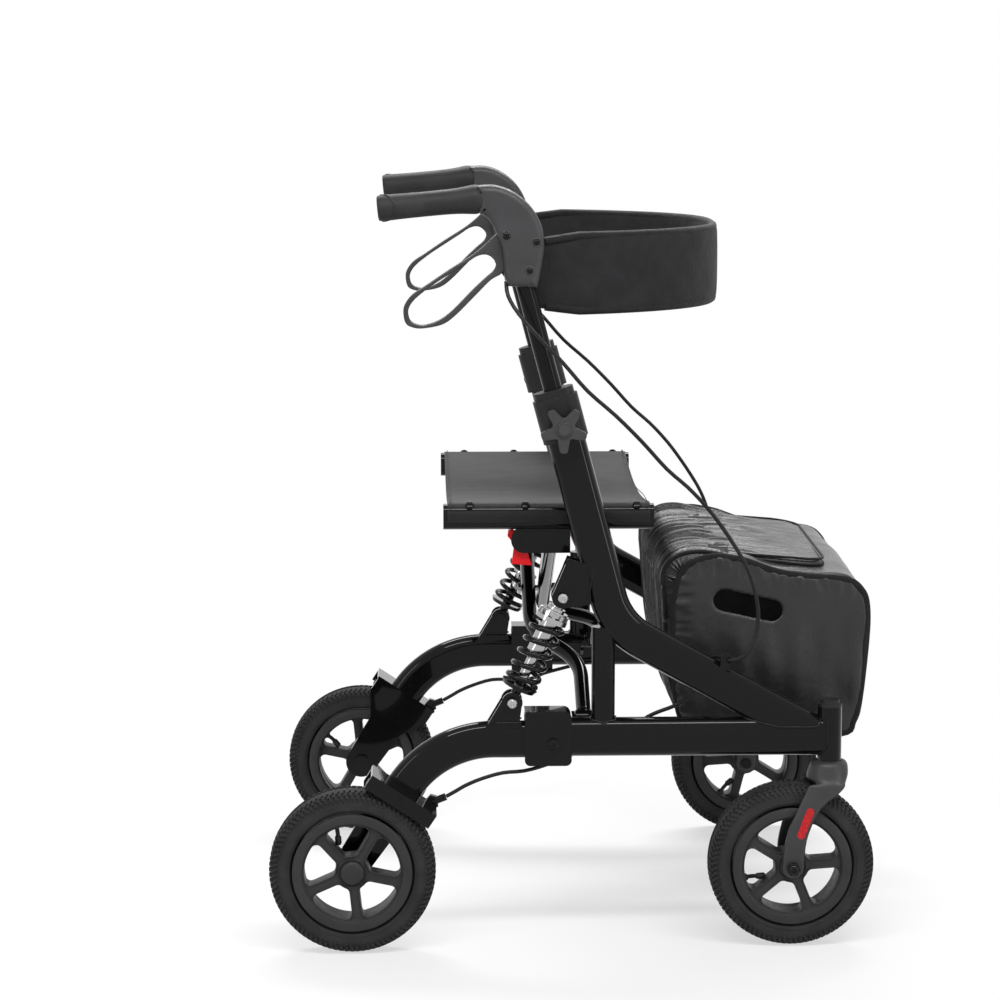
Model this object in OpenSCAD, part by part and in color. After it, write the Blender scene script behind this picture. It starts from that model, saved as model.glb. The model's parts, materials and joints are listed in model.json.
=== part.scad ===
// All terrain rollator: two welded side frames joined by a folding cross brace,
// sprung rear swing arms, castors in front, a sling seat, a bag and a back strap.
// Every side piece is drawn for the right side, in a frame with X measured forward
// from the rear axle, Y from the side frame's mid-plane (outward is minus) and Z up.

/* [Layout] */
// Distance between the rear axle and the castor axle
wheelbase = 527; // [500:1:560]
// Distance from the middle of the rollator to a side frame's mid-plane
side_y = 264; // [255:1:290]
// Extra distance from the side frame's plane out to the rear wheel's plane
rear_wheel_out = 18; // [17:1:24]

/* [Wheels] */
// Outer diameter of each tyre
wheel_d = 200; // [196:1:204]
// Width of a tyre
tyre_w = 44; // [40:1:46]
// Outer diameter of the rim's flanges
rim_d = 144; // [140:1:148]
// Width of a rim across its flanges
rim_w = 46; // [42:1:48]
// Inner diameter of the rim's ring, outside the spokes
rim_hole_d = 116; // [110:1:120]
// Diameter of the hub
hub_d = 35; // [32:1:40]
// Length of the hub
hub_w = 42; // [38:1:44]
// Width of a spoke at its middle
spoke_w = 12; // [9:1:15]
// Number of spokes
spoke_count = 5; // [3:1:7]
// Diameter of the wheel axles
axle_d = 10; // [8:1:12]

/* [Side frame] */
// Height of the oval frame tubes, seen from the side
tube_h = 45; // [40:1:48]
// Thickness of the oval frame tubes
tube_w = 27; // [25:1:30]
// Thickness of the lower rail
rail_w = 28; // [26:1:31]
// Height of the lower rail's centre line
rail_z = 256; // [250:1:262]
// Distance of the main tube's corner in front of the rear axle
corner_x = 315; // [310:1:320]
// Height of the main tube's corner
corner_z = 390; // [386:1:394]
// Backward lean of the upright part of the main tube, in degrees
lean = 15; // [13:0.5:17]
// Fall of the front part of the main tube, in degrees
fall = 29; // [27:0.5:31]
// Centre line radius of the main tube's bend
bend_r = 85; // [75:1:95]
// Length of the upright tube above the corner
upright_len = 279; // [265:1:290]
// Width of the vertical post
post_w = 28; // [24:1:32]
// Distance of the post in front of the rear axle
post_x = 300; // [296:1:306]
// Diameter of the castor head tube
head_d = 29; // [27:1:32]
// Distance that the castor axle trails behind its swivel
trail = 45; // [40:1:48]
// Height of the head tube's lower end
head_z = 227; // [225:1:230]
// Length of the head tube
head_len = 65; // [60:1:70]

/* [Suspension] */
// Distance of the swing arm's pivot in front of the rear axle
pivot_x = 240; // [236:1:244]
// Height of the swing arm's pivot
pivot_z = 251; // [248:1:254]
// Thickness of the swing arm's tube
arm_w = 25; // [22:1:26]
// Centre line radius of the swing arm's bend
arm_bend_r = 130; // [125:1:135]
// Diameter of the suspension bolts
bolt_d = 10; // [8:1:12]
// Outer diameter of the coil spring
spring_d = 44; // [40:1:46]
// Thickness of the spring's wire
wire_d = 6.4; // [5:0.2:7.4]
// Number of turns of the spring
spring_turns = 5.5; // [4.5:0.5:6.5]
// Diameter of the damper's body
damper_d = 22; // [20:1:25]

/* [Cross brace and seat] */
// Diameter of the cross brace tubes
brace_d = 18; // [16:1:20]
// Distance from the middle of the rollator to a brace bar's lower hinge
brace_y = 232; // [228:1:234]
// Height of the lower hinges
brace_z = 272; // [270:1:275]
// Height of the hinge bolt in the middle of the brace
cross_z = 388; // [384:1:392]
// Distance of the middle bolt in front of the rear axle
cross_x = 230; // [226:1:234]
// Distance from the middle of the rollator to a seat tube's hinge
seat_hinge_y = 205; // [203:1:206]
// Length of a seat tube
seat_len = 252; // [240:1:260]
// Height of a seat tube's oval
seat_tube_h = 31; // [28:1:32]
// Thickness of a seat tube
seat_tube_w = 22; // [20:1:23]
// Height of the seat tubes' top
seat_z = 532; // [530:1:536]

/* [Handles] */
// Diameter of the height tube
post_d = 22; // [20:0.5:23]
// Diameter of the hand grip
grip_d = 31; // [29:1:34]
// Length of the hand grip
grip_len = 118; // [110:1:125]
// Rise of the hand grip to the front, in degrees
grip_tilt = 5.3; // [4:0.1:7]
// Thickness of the handle's housing
housing_w = 32; // [30:1:32]
// Radius of the star knob's arms
knob_r = 28; // [24:1:30]
// Thickness of the brake lever
lever_w = 13; // [10:1:16]

/* [Bag and strap] */
// Width of the bag across the rollator
bag_w = 390; // [370:1:400]
// Height of the back strap
strap_h = 94; // [85:1:100]

/* [Hidden] */
$fn = 64;

run = 0.05; // running clearance of a shaft in its bore
gap = 0.3; // clearance between faces that only lie beside each other

// Colours
frame_c = "#151517";
plastic_c = "#2f3032";
wheel_c = "#3a3b3d";
tyre_c = "#2b2b2c";
steel_c = "#c9ccd0";
cloth_c = "#1c1c1e";
red_c = "#d5231f";

// Wheels
wheel_r = wheel_d / 2;
axle_r = axle_d / 2;
rim_r = rim_d / 2;
bed_r = rim_r - 4;
bed_w = rim_w - 10;
head_x = wheelbase + trail;
stem_r = 8;

// Main tube
rail_x0 = pivot_x + 18;
bend_turn = 90 - lean - fall;
bend_tangent = bend_r * tan(bend_turn / 2);
corner_dir = [-sin(lean), cos(lean)];
bend_c = [corner_x, corner_z] + bend_tangent * corner_dir + bend_r * [cos(lean), sin(lean)];
slope_len = (head_x - corner_x) / cos(fall);
post_r = post_d / 2;
bore_depth = upright_len - bend_tangent - 8;

// Hinge bracket that holds the swing arm
cheek_in = arm_w / 2 + 0.5;
cheek_t = 4;
bracket_top = pivot_z + 39;

// Suspension: bolts of the shock absorber
shock_top = [pivot_x + 11, pivot_z + 176];
shock_low = [pivot_x - 49, pivot_z + 49];
shock_len = norm(shock_top - shock_low);
shock_tilt = atan2(shock_top[0] - shock_low[0], shock_top[1] - shock_low[1]);
eye_r = 11;
eye_w = 16;
tab_t = 3.5;
spring_start = 33;
cup_s = shock_len - 22.5;
cup_t = 5;

// Swing arm and the crown over the rear wheel
arm_z = pivot_z + 2.5;
crown_dir = 33.4;
arm_turn = 90 - crown_dir;
crown_top_r = wheel_r + 14;
crown_t = 3.5;
crown_w = tyre_w + 4;
crown_len = 91;
crown_drop = 18.5;
crown_lip = 3;
arm_corner = [pivot_x - 139.5, arm_z];
arm_tangent = arm_bend_r * tan(arm_turn / 2);
arm_c = [arm_corner[0] + arm_tangent, arm_z - arm_bend_r];
arm_end = arm_corner + arm_tangent * [-cos(arm_turn), -sin(arm_turn)];
brake_pin = [57, wheel_r + 88.5];
brake_pin_r = 2.5;

// Cross brace
brace_slope = (cross_z - brace_z) / brace_y;
brace_x_right = pivot_x + 39;
brace_x_left = pivot_x + 75;
brace_off = brace_d / 2 + 1;
brace_r = brace_d / 2;
lug_r = 9;
lug_w = 22;
ear_t = 4;
pin_r = 4;
seat_hinge_z = cross_z + brace_slope * seat_hinge_y;
seat_x0 = 110;
seat_x1 = seat_x0 + seat_len;
seat_tube_z = seat_z - seat_tube_h / 2;
seat_y = seat_hinge_y + 18;
rest_x = corner_x - (seat_tube_z - corner_z) * tan(lean);

// Handles, measured along the upright from the main tube's corner
collar_z0 = upright_len - 46;
collar_z1 = upright_len + 15;
knob_z = collar_z0 + 15;
collar_w = 32;
housing_z0 = 421;
tube_top = 438;
tube_low = upright_len - 112;
grip_rear = [34, 886];
lever_pin = [184, 855];

// Castor fork
fork_in = rim_w / 2 + 2;
fork_out = fork_in + 7;

// Brake cable's route on the right side: X from the rear axle, Y from the side plane, Z
CABLE = [[184, -2, 801], [186, -10, 785], [198, -22, 765], [222, -31, 738], [250, -36, 708],
    [278, -38, 676], [311, -38, 647], [342, -37, 616], [371, -36, 584], [396, -34, 562],
    [416, -32, 541], [432, -30, 521], [452, -28, 492], [466, -26, 468], [475, -24, 445],
    [481, -22, 420], [482, -21, 398], [478, -20, 376], [466, -18.5, 357], [450, -11, 350.5],
    [440, 0, 352], [432, 11.5, 350.5], [425, 16.5, 341], [419, 17.5, 327], [412, 17.5, 312],
    [402, 17.5, 299], [387, 17.5, 289], [366, 17.5, 281], [350, 18.5, 272], [339, 20, 256],
    [326, 20, 243], [300, 20, 238], [276, 20.5, 232], [250, 21, 225], [232, 17.5, 217],
    [206, 5, 213], [180, 0, 212],
    [155, 0, 205], [136, 0, 197], [124, 0, 190], [112.5, 0, 183.5]];
cable_r = 2.4;
cable_end = CABLE[len(CABLE) - 1];
clip_a = CABLE[19];
clip_b = CABLE[20];

// Seat sling, bag and strap
cloth_t = 3.6;
bag_x0 = corner_x + 76;
bag_z0 = 240;
hook_x = [corner_x + 115, corner_x + 199];

// Places a right side piece, and its mirror image on the left
module right_side() { translate([-wheelbase / 2, -side_y, 0]) children(); }
module left_side() { translate([-wheelbase / 2, side_y, 0]) mirror([0, 1, 0]) children(); }
module middle() { translate([-wheelbase / 2, 0, 0]) children(); }

// Stadium outline, h long in Y and w wide in X
module oval(h, w) {
    square([w, h - w], center = true);
    for (s = [-1, 1]) translate([0, s * (h - w) / 2]) circle(d = w);
}

// Extrudes an outline drawn in X and Z from y0 to y1
module slab(y0, y1) { translate([0, y1, 0]) rotate([90, 0, 0]) linear_extrude(y1 - y0) children(); }

// Round bar along Y
module bar_y(at, r, y0, y1) { slab(y0, y1) translate(at) circle(r); }

// Round bar between two points
module bar(p, q, r) {
    d = q - p;
    translate(p) rotate([0, acos(d[2] / norm(d)), atan2(d[1], d[0])]) cylinder(r = r, h = norm(d));
}

// Tube bend in the XZ plane about a centre
module bend(c, r, from, sweep) {
    translate([c[0], 0, c[1]]) rotate([90, 0, 0]) rotate([0, 0, from])
        rotate_extrude(angle = sweep, $fn = 120) translate([r, 0]) children();
}

// Frame whose Z runs up the upright from the main tube's corner
module upright() { translate([corner_x, 0, corner_z]) rotate([0, -lean, 0]) children(); }

// Frame whose Z runs down the shock absorber from its upper bolt
module shock_axis() {
    translate([shock_top[0], 0, shock_top[1]]) rotate([0, 180 + shock_tilt, 0]) children();
}

// Frame centred on the rear axle whose Z points through the crown
module crown_axis() {
    translate([0, -rear_wheel_out, wheel_r]) rotate([0, crown_dir, 0]) children();
}

// Hexagon headed bolt along Y with a nut at the other end
module bolt_y(at, r, y0, y1) {
    bar_y(at, r, y0, y1);
    bar_y(at, r * 1.35, y0 - r * 0.9, y0);
    bar_y(at, r * 1.35, y1, y1 + r * 0.8);
}

// Closed solid through a list of rings with the same number of points
module skin(rings) {
    n = len(rings[0]);
    m = len(rings);
    pts = [for (ring = rings) for (p = ring) p];
    polyhedron(pts, concat(
        [[for (j = [n - 1:-1:0]) j]],
        [for (i = [0:m - 2]) for (j = [0:n - 1]) let (k = (j + 1) % n)
            each [[i * n + j, i * n + k, (i + 1) * n + k], [i * n + j, (i + 1) * n + k, (i + 1) * n + j]]],
        [[for (j = [0:n - 1]) (m - 1) * n + j]]));
}
function unit(v) = v / norm(v);

// Rings of a tube along a path, kept from twisting by a fixed side direction
function tube_rings(path, r, sides, side) = let (m = len(path)) [for (i = [0:m - 1])
    let (t = unit(path[min(i + 1, m - 1)] - path[max(i - 1, 0)]),
        a = unit(cross(t, side)), b = cross(t, a))
    [for (j = [0:sides - 1]) let (w = 360 * j / sides) path[i] + r * (cos(w) * a + sin(w) * b)]];

// Smooth curve through points, with some steps for each stretch
function spline(p, steps) = let (m = len(p)) concat([for (i = [0:m - 2]) for (k = [0:steps - 1])
    let (t = k / steps, a = p[max(i - 1, 0)], b = p[i], c = p[i + 1], d = p[min(i + 2, m - 1)])
    0.5 * (2 * b + (c - a) * t + (2 * a - 5 * b + 4 * c - d) * t * t
        + (3 * b - a - 3 * c + d) * t * t * t)], [p[m - 1]]);

// Upper shock tab's and bracket's outlines
module upper_tab() {
    difference() {
        union() {
            translate(shock_top) circle(eye_r + 2);
            polygon([shock_top + [-12.5, 3], shock_top + [6, 47], shock_top + [30, 40],
                shock_top + [34, -8], shock_top + [3, -12.6], shock_top + [-9, -8]]);
        }
        translate(shock_top) circle(bolt_d / 2 + run);
    }
}
module bracket_cheek() {
    difference() {
        union() {
            hull() {
                translate([pivot_x - 34, pivot_z - 20]) square([56, bracket_top - pivot_z + 10]);
                translate([pivot_x - 34, bracket_top - 2]) square(2);
                translate([pivot_x + 13, bracket_top - 9]) circle(9);
            }
            translate([pivot_x - 27, pivot_z - 27]) square([42, 10]);
            for (x = [-27, 15]) translate([pivot_x + x, pivot_z - 20]) circle(7);
        }
        translate([pivot_x, pivot_z]) circle(bolt_d / 2 + run);
    }
}

// Welded side frame: main tube, post, rail, head tube, tabs, hinge ears and bag hooks
module side_frame(ear_x) {
    color(frame_c) difference() {
        union() {
            upright() translate([0, 0, bend_tangent]) linear_extrude(upright_len - bend_tangent)
                rotate(90) oval(tube_h, tube_w);
            bend(bend_c, bend_r, 180 + lean, bend_turn) rotate(90) oval(tube_h - 0.1, tube_w - 0.1);
            difference() {
                translate([corner_x, 0, corner_z]) rotate([0, fall, 0]) translate([bend_tangent, 0, 0])
                    rotate([90, 0, 90]) linear_extrude(slope_len - bend_tangent) oval(tube_h, tube_w);
                translate([corner_x, -tube_w, 0]) cube([head_x, 2 * tube_w, rail_z]);
                translate([head_x - head_d / 2 - gap, -tube_w, head_z + head_len - gap])
                    cube([head_d + tube_h, 2 * tube_w, tube_h]);
            }
            translate([rail_x0, 0, rail_z]) rotate([90, 0, 90])
                linear_extrude(head_x - rail_x0) oval(tube_h + 2, rail_w);
            difference() {
                translate([post_x, 0, rail_z]) linear_extrude(corner_z - rail_z) rotate(90)
                    oval(post_w, 20);
                upright() translate([0, 0, bend_tangent]) linear_extrude(upright_len)
                    square([tube_h + 60, tube_w + 9], center = true);
            }
            translate([head_x, 0, head_z]) cylinder(d = head_d, h = head_len);
            for (s = [-1, 1]) {
                slab(s > 0 ? 9 : -9 - tab_t, s > 0 ? 9 + tab_t : -9) upper_tab();
                slab(s > 0 ? cheek_in : -cheek_in - cheek_t, s > 0 ? cheek_in + cheek_t : -cheek_in)
                    bracket_cheek();
                translate([ear_x + s * (lug_w / 2 + gap + ear_t / 2), 0, 0]) brace_ear();
            }
            slab(-cheek_in - 1, cheek_in + 1) translate([pivot_x - 34, bracket_top - 4]) square([50, 4]);
            bar([ear_x - lug_w / 2 - ear_t, side_y - brace_y, brace_z],
                [ear_x + lug_w / 2 + ear_t, side_y - brace_y, brace_z], pin_r);
            seat_rest();
            for (x = hook_x) bag_hook(x);
            cable_clip();
        }
        upright() translate([0, 0, upright_len - bore_depth]) cylinder(r = post_r + 0.4, h = bore_depth + 1);
        translate([head_x, 0, head_z - 1]) cylinder(r = stem_r + run, h = head_len - 8);
    }
}
module brace_ear() {
    translate([-ear_t / 2, 0, 0]) rotate([90, 0, 90]) linear_extrude(ear_t) {
        translate([side_y - brace_y, brace_z]) circle(8);
        polygon([[tube_w / 2 - 2, brace_z + 4], [side_y - brace_y, brace_z + 8],
            [side_y - brace_y + 5, brace_z - 6], [side_y - brace_y, brace_z - 8],
            [tube_w / 2 - 2, brace_z - 26]]);
    }
}
module seat_rest() {
    top = seat_tube_z - seat_tube_h / 2 - gap;
    translate([rest_x - 14, 0, 0]) rotate([90, 0, 90]) linear_extrude(28)
        polygon([[tube_w / 2 - 4, top], [side_y - seat_y + 8, top], [side_y - seat_y + 8, top - 5],
            [tube_w / 2 + 4, top - 22], [tube_w / 2 - 4, top - 22]]);
}
module bag_hook(x) {
    z = corner_z - (x - corner_x) * tan(fall);
    bar([x, tube_w / 2 - 2, z], [x, side_y - bag_w / 2 - gap, z], 4);
    bar([x, side_y - bag_w / 2 - gap - 3, z], [x, side_y - bag_w / 2 - gap, z], 8);
}
module cable_clip() {
    middle = (clip_a + clip_b) / 2;
    difference() {
        translate(middle - [6, 6, 14]) cube([12, 12, 19.5]);
        bar(2 * clip_a - middle, 2 * clip_b - middle, cable_r + 1);
    }
}

// Plastic dome on top of the head tube
module head_cap() {
    color(plastic_c) translate([head_x, 0, head_z + head_len]) rotate_extrude() {
        difference() {
            square([head_d / 2, 8]);
            translate([head_d / 2, 8]) circle(4.5);
        }
        square([head_d / 2 - 3, 8]);
    }
}

// Bolts of the swing arm's pivot and of the shock absorber's upper eye
module hinge_bolts() {
    color(steel_c) {
        bolt_y([pivot_x, pivot_z], bolt_d / 2, -cheek_in - cheek_t, cheek_in + cheek_t);
        bolt_y(shock_top, bolt_d / 2, -9 - tab_t, 9 + tab_t);
    }
}

// Moulded collar that clamps the height tube on top of the upright
module height_collar() {
    color(plastic_c) upright() difference() {
        union() {
            translate([0, 0, collar_z0]) linear_extrude(collar_z1 - collar_z0 - 9) rotate(90)
                oval(tube_h + 9, collar_w);
            translate([0, 0, collar_z1 - 9]) linear_extrude(9) rotate(90) oval(tube_h + 3, collar_w - 4);
            translate([0, 0, knob_z]) rotate([90, 0, 0]) cylinder(r = 11, h = collar_w / 2 + 4);
        }
        translate([0, 0, collar_z0 - 1]) linear_extrude(upright_len - collar_z0 + 1 + gap) rotate(90)
            oval(tube_h + 2 * gap, tube_w + 2 * gap);
        cylinder(r = post_r + run, h = collar_z1 + 1);
    }
}

// Star knob with five arms, outboard of the collar
module star_knob() {
    color(plastic_c) upright() translate([0, -collar_w / 2 - 4 - gap, knob_z]) rotate([90, 0, 0]) {
        cylinder(r = 9, h = 13);
        cylinder(r = 6.5, h = 15);
        translate([0, 0, 3]) linear_extrude(8) offset(r = 3.5) offset(delta = -3.5)
            polygon([for (k = [0:4]) let (w = 72 * k + 21) each [star_point(knob_r, w - 9),
                star_point(knob_r, w + 9), star_point(14, w + 30), star_point(14, w + 42)]]);
    }
}
function star_point(r, w) = r * [cos(w + 90), sin(w + 90)];

// Castor fork with its stem
module fork_leg() {
    polygon(concat(
        spline([[head_x - 24, head_z - 3], [head_x - 27, head_z - 19], [head_x - 32, head_z - 34],
            [head_x - 38, wheel_r + 80], [head_x - 43.5, wheel_r + 67], [head_x - 51.5, wheel_r + 44],
            [head_x - 56.5, wheel_r + 21], [wheelbase - 12.8, wheel_r + 2]], 3),
        spline([[wheelbase + 12.8, wheel_r + 2], [head_x - 31, wheel_r + 18], [head_x - 28, wheel_r + 38],
            [head_x - 19.5, wheel_r + 59], [head_x - 8, wheel_r + 76], [head_x + 9.5, wheel_r + 90],
            [head_x + 18, wheel_r + 101], [head_x + 22.5, head_z - 15], [head_x + 22, head_z - 6],
            [head_x + 19, head_z - 3]], 3)));
    translate([wheelbase, wheel_r]) circle(13);
}
module caster_fork() {
    color(plastic_c) difference() {
        union() {
            translate([head_x, 0, head_z - gap]) rotate([180, 0, 0]) cylinder(r1 = 20, r2 = 23, h = 3);
            translate([head_x, 0, head_z - 10]) cylinder(r = 23, h = 7.2);
            intersection() {
                slab(-fork_out, fork_out) fork_leg();
                translate([head_x, 0, head_z - 12]) rotate_extrude() polygon([[0, 10], [20.5, 10],
                    [24.5, 3], [27, -6], [29.5, -16], [33, -28], [fork_out + 6, -40], [0, -40]]);
            }
            for (s = [-1, 1]) slab(s > 0 ? fork_in : -fork_out, s > 0 ? fork_out : -fork_in)
                intersection() {
                    fork_leg();
                    square([head_x * 2, head_z - 24]);
                }
            translate([head_x, 0, head_z - 6]) cylinder(r = stem_r, h = head_len - 6);
        }
        translate([wheelbase, fork_in, wheel_r]) rotate([90, 0, 0])
            cylinder(r = wheel_r + 4, h = 2 * fork_in);
        bar_y([wheelbase, wheel_r], axle_r + run, -fork_out - 1, fork_out + 1);
        reflector_slot(0);
    }
}
module reflector_slot(less) {
    slab(-fork_out - 1, -fork_out + 1.5 - less) translate([wheelbase + 14, wheel_r + 55])
        rotate(-20) oval(40 - 2 * less, 10 - 2 * less);
}

// Red reflector let into the fork's outer leg
module reflector() {
    color(red_c) intersection() {
        reflector_slot(gap / 2);
        slab(-fork_out + 0.2, fork_out) square([head_x * 2, head_z]);
    }
}

// Castor axle bolt through both legs
module caster_axle() {
    color(steel_c) bolt_y([wheelbase, wheel_r], axle_r, -fork_out - gap, fork_out + gap);
}

// Wheel parts, drawn about the origin with the axle along Y
module wheel_turn() { rotate([90, 0, 0]) rotate_extrude($fn = 128) children(); }
module tyre() {
    color(tyre_c) wheel_turn() {
        intersection() {
            translate([wheel_r - 21, 0]) circle(26);
            translate([rim_r + gap, -tyre_w / 2]) square([wheel_r - rim_r - gap, tyre_w]);
        }
        translate([bed_r + gap / 2, -bed_w / 2 + gap]) square([rim_r - bed_r + 1, bed_w - 2 * gap]);
    }
}
module spoke_windows() {
    sector = 360 / spoke_count;
    out = rim_hole_d / 2;
    for (k = [0:spoke_count - 1]) rotate(k * sector) offset(r = 7) offset(delta = -7) difference() {
        intersection() {
            circle(out + 1);
            polygon([[spoke_w / 2 / tan(sector / 2), spoke_w / 2],
                [out * 2, spoke_w / 2], [out * 2 * cos(sector / 2), out * 2 * sin(sector / 2)],
                [out * 2 * cos(sector), out * 2 * sin(sector)] + spoke_w / 2 * [sin(sector), -cos(sector)]]);
        }
        circle(hub_d / 2 + 2);
    }
}
module rim(first_spoke, bore_to) {
    color(wheel_c) {
        difference() {
            union() {
                wheel_turn() difference() {
                    translate([rim_hole_d / 2, -rim_w / 2]) square([rim_r - rim_hole_d / 2, rim_w]);
                    translate([bed_r, -bed_w / 2]) square([rim_r, bed_w]);
                    for (s = [-1, 1]) translate([rim_r - 6, s * rim_w / 2]) circle(1.5);
                }
                bar_y([0, 0], hub_d / 2, -hub_w / 2, hub_w / 2);
                difference() {
                    slab(-rim_w / 2 + 2, 6) circle(rim_hole_d / 2 + 1);
                    slab(-rim_w, rim_w) rotate(first_spoke) spoke_windows();
                }
            }
            bar_y([0, 0], axle_r + run, -rim_w, bore_to);
        }
        rotate([0, -first_spoke - 90 - 90 / spoke_count, 0]) translate([0, 5, 0]) {
            translate([0, 0, rim_hole_d / 2 - 16]) cylinder(r = 3, h = 16.5);
            translate([0, 0, rim_hole_d / 2 - 25]) cylinder(r = 4, h = 10);
        }
    }
}
module at_rear_wheel() { translate([0, -rear_wheel_out, wheel_r]) children(); }
module at_caster_wheel() { translate([wheelbase, 0, wheel_r]) children(); }

// Cap over the rear wheel's hub
module hub_cap() {
    color(wheel_c) at_rear_wheel() rotate([90, 0, 0]) translate([0, 0, hub_w / 2 + 0.1]) rotate_extrude() {
        difference() {
            square([hub_d / 2, 4.5]);
            translate([hub_d / 2, 4.5]) circle(2);
        }
        square([hub_d / 2 - 2, 4.5]);
    }
}

// Axle of the rear wheel, held by the dropout plate
module rear_axle() {
    inner = -rear_wheel_out + crown_w / 2;
    color(steel_c) {
        bar_y([0, wheel_r], axle_r, -rear_wheel_out - hub_w / 2 + 2, inner + 6);
        bar_y([0, wheel_r], axle_r + 5, inner + 5 + 0.1, inner + 11);
        bar_y([0, wheel_r], axle_r + 3, -rear_wheel_out + hub_w / 2 + 0.2, inner - 0.1);
    }
}

// Swing arm: bent tube, shock tab, crown channel over the tyre and dropout plate
module shock_tab() {
    difference() {
        union() {
            translate(shock_low) circle(eye_r + 1.5);
            polygon([shock_low + [-12, 3], shock_low + [12.4, 2], shock_low + [9, -22],
                shock_low + [12, -30], shock_low + [-34, -34]]);
        }
        translate(shock_low) circle(bolt_d / 2 + run);
    }
}
module dropout() {
    difference() {
        translate([0, wheel_r]) rotate(-crown_dir) {
            circle(21);
            polygon([[-21, 0], [-24, 60], [1 - crown_len / 2, crown_top_r - 22],
                [1 - crown_len / 2, crown_top_r - 0.5], [crown_len / 2 - 1, crown_top_r - 0.5],
                [crown_len / 2 - 1, crown_top_r - 22], [24, 60], [21, 0]]);
        }
        translate([0, wheel_r]) circle(axle_r + run);
    }
}
module swing_arm() {
    color(frame_c) difference() {
        union() {
            difference() {
                union() {
                    translate([arm_c[0], 0, arm_z]) rotate([90, 0, 90])
                        linear_extrude(pivot_x + 10 - arm_c[0]) oval(tube_h, arm_w);
                    bend(arm_c, arm_bend_r, 90, arm_turn) rotate(90) oval(tube_h - 0.1, arm_w - 0.1);
                    translate([arm_end[0], 0, arm_end[1]]) rotate([0, 180 + crown_dir, 0])
                        linear_extrude(12) rotate(90) oval(tube_h, arm_w);
                }
                crown_axis() translate([-100, -50, crown_top_r - 60]) cube([200, 150, 60]);
            }
            for (s = [-1, 1]) slab(s > 0 ? eye_w / 2 + gap : -eye_w / 2 - gap - tab_t,
                s > 0 ? eye_w / 2 + gap + tab_t : -eye_w / 2 - gap) shock_tab();
            crown_axis() {
                translate([-crown_len / 2, -crown_w / 2, crown_top_r - crown_t])
                    cube([crown_len, crown_w + 5, crown_t]);
                translate([-crown_len / 2, -crown_w / 2, crown_top_r - crown_drop])
                    cube([crown_len, crown_lip, crown_drop]);
            }
            slab(-rear_wheel_out + crown_w / 2, -rear_wheel_out + crown_w / 2 + 5) dropout();
            slab(-4, 4) polygon([[85, 176], [95, 168], [103, 172], [101, 184], [94, 186]]);
            bar([96, 0, 177], cable_end - 0.3 * unit(cable_end - [96, 0, 177]), 4.5);
        }
        bar_y([pivot_x, pivot_z], bolt_d / 2 + run, -tube_w, tube_w);
    }
    color(steel_c) bolt_y(brake_pin, brake_pin_r, -rear_wheel_out - crown_w / 2,
        -rear_wheel_out + crown_w / 2 + 4);
}

// Bolt through the shock absorber's lower eye
module shock_bolt() {
    color(steel_c) bolt_y(shock_low, bolt_d / 2, -eye_w / 2 - gap - tab_t - 0.1, eye_w / 2 + gap + tab_t + 0.1);
}

// Brake arm under the crown, with its shoe over the tyre
module brake_arm() {
    color(plastic_c) difference() {
        union() {
            bar_y(brake_pin, 4.6, -rear_wheel_out - 17, -rear_wheel_out + 17);
            slab(-rear_wheel_out - 16, -rear_wheel_out + 16) translate([0, wheel_r]) intersection() {
                difference() {
                    circle(crown_top_r - crown_t - 1.2);
                    circle(wheel_r + 3.2);
                }
                rotate(-crown_dir) translate([3 - crown_len / 2, 0]) square([crown_len / 2 + 3, wheel_r * 2]);
            }
        }
        bar_y(brake_pin, brake_pin_r + run, -tyre_w, tyre_w);
    }
}

// Damper body with its eye and the castellated preload rings
module shock_body() {
    color(steel_c) shock_axis() difference() {
        union() {
            rotate([90, 0, 0]) cylinder(r = eye_r, h = eye_w, center = true);
            cylinder(r = eye_w / 2 - gap, h = eye_r + 5);
            translate([0, 0, eye_r + 4]) cylinder(d = damper_d, h = 59);
            translate([0, 0, spring_start - 6]) cylinder(r = damper_d / 2 + 8.5, h = 6 - gap);
            translate([0, 0, spring_start - 14]) cylinder(r = damper_d / 2 + 5, h = 6.5);
            for (k = [0:11]) rotate(30 * k) translate([damper_d / 2 + 3, -2.2, spring_start - 12])
                cube([4.6, 4.4, 6.5]);
        }
        rotate([90, 0, 0]) cylinder(r = bolt_d / 2 + run, h = eye_w + 2, center = true);
        translate([0, 0, 38]) cylinder(r = 6 + run, h = 60);
    }
}

// Damper rod with the spring's cup and the lower eye
module shock_rod() {
    color(steel_c) shock_axis() difference() {
        union() {
            translate([0, 0, 50]) cylinder(r = 6, h = shock_len - 55);
            translate([0, 0, cup_s]) cylinder(r1 = spring_d / 2 + 0.5, r2 = spring_d / 2 - 2, h = cup_t);
            translate([0, 0, shock_len]) rotate([90, 0, 0]) cylinder(r = eye_r - 0.5, h = eye_w, center = true);
        }
        translate([0, 0, shock_len]) rotate([90, 0, 0])
            cylinder(r = bolt_d / 2 + 0.6, h = eye_w + 2, center = true);
    }
}

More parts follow.
